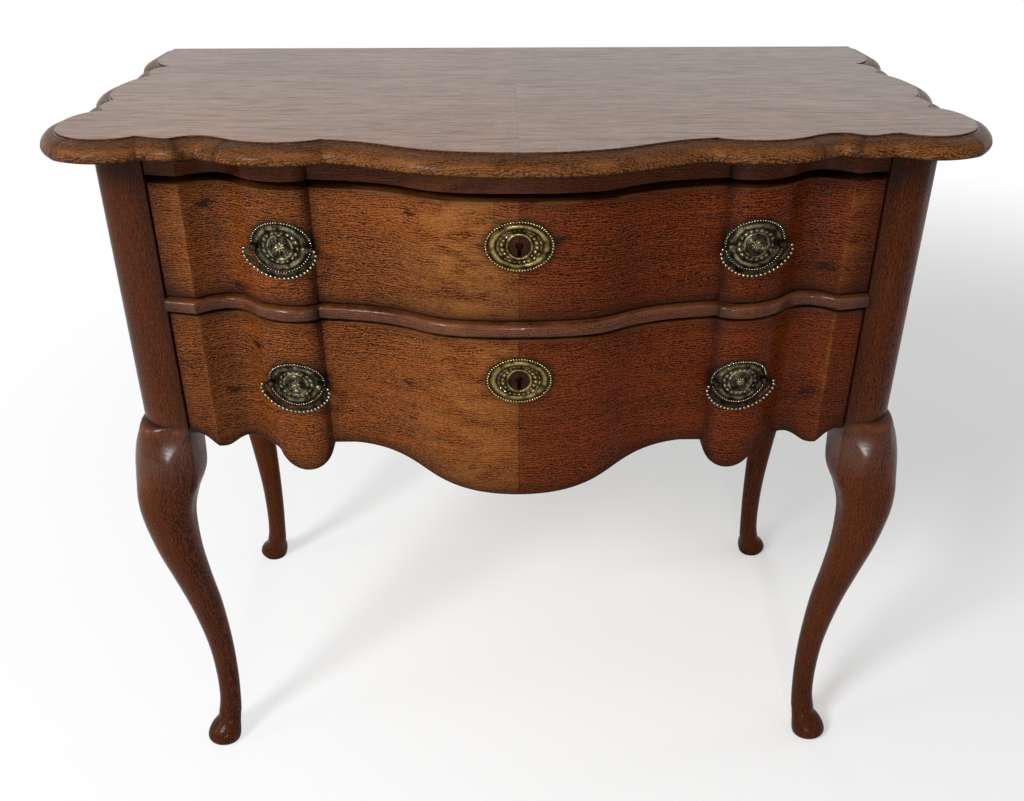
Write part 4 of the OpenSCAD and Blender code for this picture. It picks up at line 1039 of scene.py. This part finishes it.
# %% [markdown]
# ## Pressed plates
#
# The back plates and escutcheons were stamped from thin sheet over a die, then
# bent to the bow of the drawer. The die's relief is a height over an oval: a
# beaded rim, a smooth raised ring, a band of ornament, fine rings and a
# rosette. A grid in polar steps carries that height well, because every line
# of the die runs round the middle, and the sheet follows the plan curve.

# %% Plate relief
SHEET, FLUSH, RIM_SHARE, RIM_LIFT, MIDDLE_R = 0.75, 0.05, 0.953, 1.45, 0.25


def bump_at(value, centre, half):
    """A rounded ridge of height 1 around a value."""
    return np.sqrt(np.clip(1 - ((value - centre) / half) ** 2, 0, 1))


def waves(value):
    return np.abs(np.sin(value))


def plate_relief(x, z, rho):
    """Height of a handle plate in mm above the wood, and how much of it is rubbed bright."""
    r, a = np.hypot(x, z), np.arctan2(z, x)
    ring, edge = bump_at(rho, 0.765, 0.115), bump_at(r, 11.6, 0.9)
    leaves = ((rho < 0.63) & (r > 12.3)) * waves(9 * a + 4 * rho) * waves(np.pi * (rho - 0.34) / 0.145)
    rings = (r < 10.8) * (r > 5.2) * (0.5 + 0.5 * np.cos(2 * np.pi * (r - 5.2) / 1.4))
    petals = (r <= 5.2) * np.abs(np.cos(4 * a)) * np.sin(np.pi * np.clip(r / 5.2, 0, 1))
    button = np.where(r < 1.5, 1.0, 0.0)
    lift = (SHEET + 0.35 * bump_at(rho, 0.95, 0.06) + 1.35 * ring + 0.6 * leaves + 0.9 * edge + 0.7 * rings
            + 0.25 * (r <= 5.2) + 0.75 * petals + 0.6 * button)
    return lift, np.max([0.5 * ring ** 6, leaves ** 2, 0.7 * edge ** 2, 0.6 * rings ** 3, petals, button], axis=0)


def key_relief(x, z, rho):
    """The same for an escutcheon."""
    r, a = np.hypot(x, z), np.arctan2(z, x)
    ring, edge = bump_at(rho, 0.775, 0.115), bump_at(r, 11.2, 1.5)
    leaves = ((rho < 0.645) & (r > 13.0)) * waves(11 * a + 5 * rho) * waves(7 * rho * np.pi)
    lift = SHEET + 0.35 * bump_at(rho, 0.95, 0.06) + 1.3 * ring + 0.75 * leaves + 1.25 * edge
    return lift, np.max([0.5 * ring ** 6, leaves ** 2, 0.7 * edge ** 4], axis=0)


def on_front(x0, z0, x, z, lift):
    """Points that lie a given height above the front's curve."""
    return np.stack([x0 + x, FACE_Y + front_at(x0 + x) - lift, z0 + z], 1)


def pressed(name, x0, z0, width, height, hole, die, finish):
    """A sheet over the front's curve with a beaded rim, in mm."""
    around = np.radians(np.arange(0, 360, 2.5))
    across = np.stack([np.cos(around), np.sin(around)], 1)
    half = np.array([width / 2, height / 2])
    rings, hollow = [], []
    for s, on_wood in [(1.0, True), *((s, False) for s in np.linspace(1, 0, 54)), (0.0, True)][:None if hole else -1]:
        x, z = (across * (s * half + (1 - s) * max(hole, MIDDLE_R))).T
        lift, bright = (FLUSH, 0 * x) if on_wood else die(x, z, np.hypot(x / half[0], z / half[1]))
        rings.append(on_front(x0, z0, x, z, lift))
        hollow.append(0.8 - 0.8 * bright)
    sheet = skin(name, rings, closed=bool(hole))
    values = np.concatenate(hollow)[numbers_near(np.vstack(rings), points_of(sheet))[0]]
    edge = np.radians(np.arange(0, 360, 3))
    rim = on_front(x0, z0, np.cos(edge) * half[0] * RIM_SHARE, np.sin(edge) * half[1] * RIM_SHARE, RIM_LIFT)
    dots = grow("rim", rim, beads, closed=True, Bead_count=64, Bead_radius=0.00105, Seed=int(z0), Finish=finish)
    loose = len(dots.data.vertices)
    made = smooth(join_meshes(name, [sheet, dots]))
    mark(made, "hollow", np.concatenate([values, np.zeros(loose)]))
    return made


for (title, d), (width, height) in zip(DRAWERS.items(), ((59.0, 50.0), (58.0, 46.0))):
    for side, sign in SIDES.items():
        plate = pressed(f"{title}_{side}_plate_pressed", sign * LOBE_X, d["handle"], width, height, 0, plate_relief,
                        brass)
        hand_over(plate, f"{title}_drawer", "brass", brass, f"{title}_{side}_plate")
    plate = pressed(f"{title}_escutcheon_pressed", 0, d["key"], 63.0, 47.0, 9.5, key_relief, gilt)
    hand_over(plate, f"{title}_drawer", "brass", gilt, f"{title}_escutcheon")

# %% [markdown]
# ## Bails
#
# A bail is cast in one with its beads: a slim band whose outer edge is a
# string of pearls, hung by two short pins in its posts. The band is a tube
# swept along two arcs, pulled a little inwards, and the pearls are the same
# bead tree run along the outer side of that path.

# %% Bails
TILT = 11.0
HANDLE_OUT, HANDLE_HALF, BALL_D, BAIL_HALF, BAIL_DROP, TURN_R, SIDE_R = 26.5, 25.0, 8.4, 34.2, 28.2, 4.0, 14.0
PIN_R, PIN_IN, PIN_OUT, PEARL_OUT = 1.2, 3.2, 1.2, 1.0
side_cx, side_cz = BAIL_HALF - SIDE_R, -TURN_R
grip_r = (side_cx ** 2 + (side_cz + BAIL_DROP) ** 2 - SIDE_R ** 2) / (2 * (BAIL_DROP + side_cz - SIDE_R))
grip_cz = grip_r - BAIL_DROP
join_angle = math.degrees(math.atan2(grip_cz - side_cz, side_cx))


def arc(centre, radius, start, end, steps):
    """Points on an arc, each with the angle of its outward normal."""
    return [(*np.add(centre, at_angle(a, radius)), a) for a in np.linspace(start, end, steps)]


def round_angles(steps):
    return np.linspace(0, 2 * math.pi, steps, endpoint=False)


bail_half_path = ([(HANDLE_HALF + BALL_D / 2 + 0.5, 0, 90)] + arc((BAIL_HALF - TURN_R, -TURN_R), TURN_R, 90, 0, 8)
                  + arc((side_cx, side_cz), SIDE_R, 0, -join_angle, 12)[1:]
                  + arc((0, grip_cz), grip_r, -join_angle, -90, 14)[1:])
bail_path = bail_half_path + [(-x, z, 180 - a) for x, z, a in bail_half_path[-2::-1]]
print("length of a bail along its path in mm:",
      round(sum(math.dist(a[:2], b[:2]) for a, b in zip(bail_path, bail_path[1:])), 1))


def bail(name, sign, z0):
    def place(along, out, up):
        """A point given along the hinge line, out of its plane and up."""
        c, s = at_angle(sign * TILT)
        return sign * LOBE_X + along * c - out * s, FACE_Y - HANDLE_OUT + along * s + out * c, z0 + up

    rings, outer = [], []
    for x, z, a in bail_path:
        c, s = at_angle(a)
        grip = min(1.0, max(0.0, -z / 8.0))
        wide, deep, pull, lift = 1.3 + 1.2 * grip, 1.3 - 0.45 * grip, 1.9 * grip, -0.7 * grip
        rings.append([place(x + (wide * math.cos(b) - pull) * c, lift + deep * math.sin(b),
                            z + (wide * math.cos(b) - pull) * s) for b in round_angles(12)])
        if z < -1.0:
            outer.append(place(x + PEARL_OUT * c, -0.9, z + PEARL_OUT * s))
    parts = [skin("band", rings)]
    for end in (-1, 1):
        parts.append(skin("pin", [
            [place(end * along, PIN_R * math.cos(b), PIN_R * math.sin(b)) for b in round_angles(14)]
            for along in (HANDLE_HALF - PIN_IN, HANDLE_HALF + BALL_D / 2 + PIN_OUT)]))
    plain = sum(len(p.data.vertices) for p in parts)
    parts.append(grow("pearls", outer, beads, Bead_count=24, Bead_radius=0.00155, Seed=int(z0 + sign), Finish=brass))
    made = smooth(join_meshes(name, parts))
    mark(made, "hollow", np.where(np.arange(len(made.data.vertices)) < plain, 0.8, 0.0))
    return made


for title, d in DRAWERS.items():
    for side, sign in SIDES.items():
        hand_over(bail(f"{title}_{side}_bail_beaded", sign, d["handle"]), f"{title}_{side}_bail", "brass",
                  brass, f"{title}_{side}_bail")

# %% [markdown]
# ## Handle posts
#
# A post is turned: a ball with a small button on its face, a waist, and a neck
# that ends on the plate. Because the plate bends away to the outside, the
# outer neck of each handle is longer than the inner one. A lathe function
# turns the profile round the post's own axis.

# %% Handle posts
NUT_END = 30


def lathe(name, profile, centre, steps=24):
    """Turns (distance along +y, radius) round the y axis through the centre, in mm."""
    return skin(name, [[(centre[0] + r * math.cos(t), centre[1] + y, centre[2] + r * math.sin(t))
                        for t in round_angles(steps)] for y, r in profile])


def handle_post(side, end, z):
    """The post at one end of the handle on one side."""
    along, inwards = at_angle(TILT, end * HANDLE_HALF)
    x, out = side * (LOBE_X + along), HANDLE_OUT - inwards
    neck = out + front_at(x) - 0.3
    waist = min(3.6, neck * 0.55)
    profile = [(-4.2, 0.2), (-4.15, 1.0), (-3.75, 1.3), (-3.85, 1.75), (-3.4, 2.5), (-2.6, 3.3), (-1.4, 3.95),
               (0, 4.2), (1.3, 3.99), (2.2, 3.5), (waist, 2.9), (neck - 0.9, 2.9), (neck - 0.6, 3.45),
               (neck, 3.45), (neck + 0.2, 2.5), (out + NUT_END, 2.5)]
    return lathe("post", sorted(profile), (x, FACE_Y - out, z))


for title, d in DRAWERS.items():
    turned = [handle_post(side, end, d["handle"]) for side in (-1, 1) for end in (-1, 1)]
    posts = smooth(join_meshes(f"{title}_handle_posts_turned", turned), 50)
    mark(posts, "hollow", np.clip((points_of(posts)[:, 1] - FACE_Y + HANDLE_OUT + 10) / 14, 0.45, 0.85))
    hand_over(posts, f"{title}_drawer", "brass", brass, f"{title}_handle_posts")
    eased(f"{title}_handle_nuts", f"{title}_drawer", "brass", brass, 0, 0.5)

# %% [markdown]
# ## Screws, nails and pins
#
# Small fasteners repeat in every chest, and no two of them are turned the same
# way. One tree sets a fastener on each point and turns it by a random angle
# from a fixed seed. The fastener itself is a short lathe piece, with a slot
# where a screwdriver needs one, and it is given to the tree as an input.

# %% Fasteners
fasteners, given, result = new_modifier_tree("fasteners", [
    ("Points", "Geometry", None), ("Fastener", "Object", None), ("Tilt", "Vector", None),
    ("Seed", "Int", 5), ("Finish", "Material", None)])
places = shape("MeshToPoints", Mesh=given["Points"])
source = add(fasteners, "GeometryNodeObjectInfo", Object=given["Fastener"]).outputs["Geometry"]
own_turn = add(fasteners, "ShaderNodeCombineXYZ", Y=chance(0.0, 3.1, given["Seed"])).outputs[0]
placed = shape("InstanceOnPoints", Points=places, Instance=source, Rotation=given["Tilt"])
finish_tree(shape("RotateInstances", Instances=placed, Rotation=own_turn), given["Finish"], result)


def set_fasteners(name, node, body, slot, finish, profile, points, tilt, seed, drive=0.0):
    """A turned head that looks towards -y, slotted if it is a screw, on each point."""
    source = lathe("fastener", profile, (0, 0, 0), 16)
    if drive:
        cut(source, [box_at("slot", (-9, profile[0][0] - 1, -drive / 2), (9, profile[0][0] + drive, drive / 2))])
    made = grow(name, points, fasteners, edges=False, Fastener=source, Tilt=tilt, Seed=seed, Finish=finish)
    bpy.data.objects.remove(source)
    smooth(made, 40)
    mark(made, "hollow", np.full(len(made.data.vertices), 0.25))
    hand_over(made, body, slot, finish, node)


UPWARDS, BACKWARDS, FORWARDS = (math.pi / 2, 0, 0), (0, 0, math.pi), (0, 0, 0)
NAIL_X, LOCK_SCREW_X, LOCK_BACK, PIN_X = 346, 27, 36, 24.5
spots = [(s * 240, FACE_Y + 30, RAIL_Z) for s in (-1, 1)]
spots += [(s * 356, y, 730.0) for s in (-1, 1) for y in (-53.5, 125.5)]
set_fasteners("top_screws_slotted", "top_screws", "case", "iron", iron,
              [(0, 4.3), (0.3, 4.5), (3, 2.0), (32, 2.0), (33, 0.5)], spots, UPWARDS, 11, drive=1.0)
spots = [(s * NAIL_X, POST_BACK, z) for s in (-1, 1) for z in (490.0, 586.0, 636.0, 732.0)]
set_fasteners("back_nails_forged", "back_nails", "case", "iron", iron,
              [(-1.2, 1.2), (-1.1, 2.0), (-0.6, 2.5), (0, 2.4), (0.05, 1.2), (24, 0.9), (25, 0.2)], spots,
              BACKWARDS, 12)
for title, d in DRAWERS.items():
    spots = [(s * LOCK_SCREW_X, FACE_Y - LOCK_BACK, d["high"] + z) for s in (-1, 1) for z in (-8, -54)]
    set_fasteners(f"{title}_lock_screws_slotted", f"{title}_lock_screws", f"{title}_drawer", "iron", iron,
                  [(-1.5, 1.5), (-1.45, 2.6), (-1.1, 3.0), (0, 3.0), (0.05, 1.5), (16, 1.5)], spots, BACKWARDS, 21,
                  drive=0.7)
    spots = [(s * PIN_X, FACE_Y + front_at(PIN_X) - 1.2, d["key"]) for s in (-1, 1)]
    set_fasteners(f"{title}_escutcheon_pins_domed", f"{title}_escutcheon_pins", f"{title}_drawer", "brass", brass,
                  [(-0.8, 0.4), (-0.7, 1.1), (-0.3, 1.5), (0, 1.5), (0.05, 0.8), (9, 0.8)], spots, FORWARDS, 31)
    eased(f"{title}_lock_case", f"{title}_drawer", "iron", iron, 0, 0.4)
    eased(f"{title}_lock_bolt", f"{title}_lock_bolt", "iron", iron, 0, 0.3)

# %% [markdown]
# ## Floor, lights and background
#
# The chest stands on a plain pale floor under soft studio light. One large
# lamp from the front left models the bows, and a small one low in front puts
# the spark of polish on the knees. Weak fills keep the right side, the far side
# and the back readable. They would mirror in polished wood as bright discs that
# aren't in the photograph, so reflections don't see them. The world adds an even
# level. What the camera and reflections see behind the chest is pure white,
# which Light Path separates from the weaker light that the world casts.

# %% Stage and light
floor = new_mesh("studio_floor", [(-6000, -5000, 0), (6000, -5000, 0), (6000, 7000, 0), (-6000, 7000, 0)],
                 faces=[(0, 1, 2, 3)])
pale, tree, shader = new_finish("pale_floor")
feed(shader, Base_Color=(0.93, 0.93, 0.93, 1), Roughness=0.9)
here = add(tree, "ShaderNodeNewGeometry").outputs["Position"]
# Painted shadow: the floor glows less for the camera round a spot right of and behind the chest, so it looks darker
# there.
painted_shadow_middle = (0.75, 0.7, 0.0)
away = add(tree, "ShaderNodeVectorMath", {"operation": "DISTANCE"}, i0=here, i1=painted_shadow_middle).outputs["Value"]
glow_outside_painted_shadow = times(ramp(away, 0.7, 2.0, 0.35, 1.0), add(tree, "ShaderNodeLightPath").outputs["Is Camera Ray"])
glow = add(tree, "ShaderNodeEmission", Color=(1, 1, 1, 1), Strength=1.0).outputs[0]
mixed = add(tree, "ShaderNodeMixShader", i0=glow_outside_painted_shadow, i1=shader.outputs[0], i2=glow).outputs[0]
feed(tree.nodes["Material Output"], Surface=mixed)
floor.data.materials.append(pale)


def lamp(name, place, aim, size, watts, mirrored=True):
    """A round lamp; one that isn't mirrored lights things but doesn't show in their gloss."""
    light = bpy.data.lights.new(name, "AREA")
    light.shape, light.size, light.energy = "DISK", size, watts
    holder = new_object(name, light)
    holder.visible_glossy = mirrored
    way = Vector(aim) - Vector(place)
    holder.matrix_world = Matrix.Translation(place) @ way.to_track_quat("-Z", "Y").to_matrix().to_4x4()


lamp("window", (-2.3, -2.7, 2.7), (0, 0, 0.5), 1.2, 152)
lamp("side_window", (-2.9, -0.9, 1.3), (-0.2, -0.2, 0.6), 0.9, 14)
lamp("spark", (0.0, -3.2, 0.74), (0, 0, 0.45), 0.2, 24)
lamp("side_fill", (3.2, 0.7, 0.5), (0.3, 0, 0.5), 1.0, 22, mirrored=False)
lamp("back_fill", (-0.6, 3.4, 0.5), (0, 0.2, 0.5), 1.0, 26, mirrored=False)
lamp("bounce", (2.8, -2.0, 1.4), (0.1, 0, 0.5), 1.6, 6, mirrored=False)
LEVEL = 0.26
world = bpy.data.worlds.new("studio")
bpy.context.scene.world = world
world.use_nodes = True
tree = world.node_tree
tree.nodes.clear()
path = add(tree, "ShaderNodeLightPath").outputs
seen = plus(plus(path["Is Camera Ray"], path["Is Glossy Ray"]), path["Is Transmission Ray"])
strength = plus(times(calc("MINIMUM", seen, 1.0), 1.0 - LEVEL), LEVEL)
shine = add(tree, "ShaderNodeBackground", Color=(1, 1, 1, 1), Strength=strength).outputs[0]
add(tree, "ShaderNodeOutputWorld", Surface=shine)
bpy.context.scene.view_settings.view_transform = "Standard"
print("lamps and world ready")
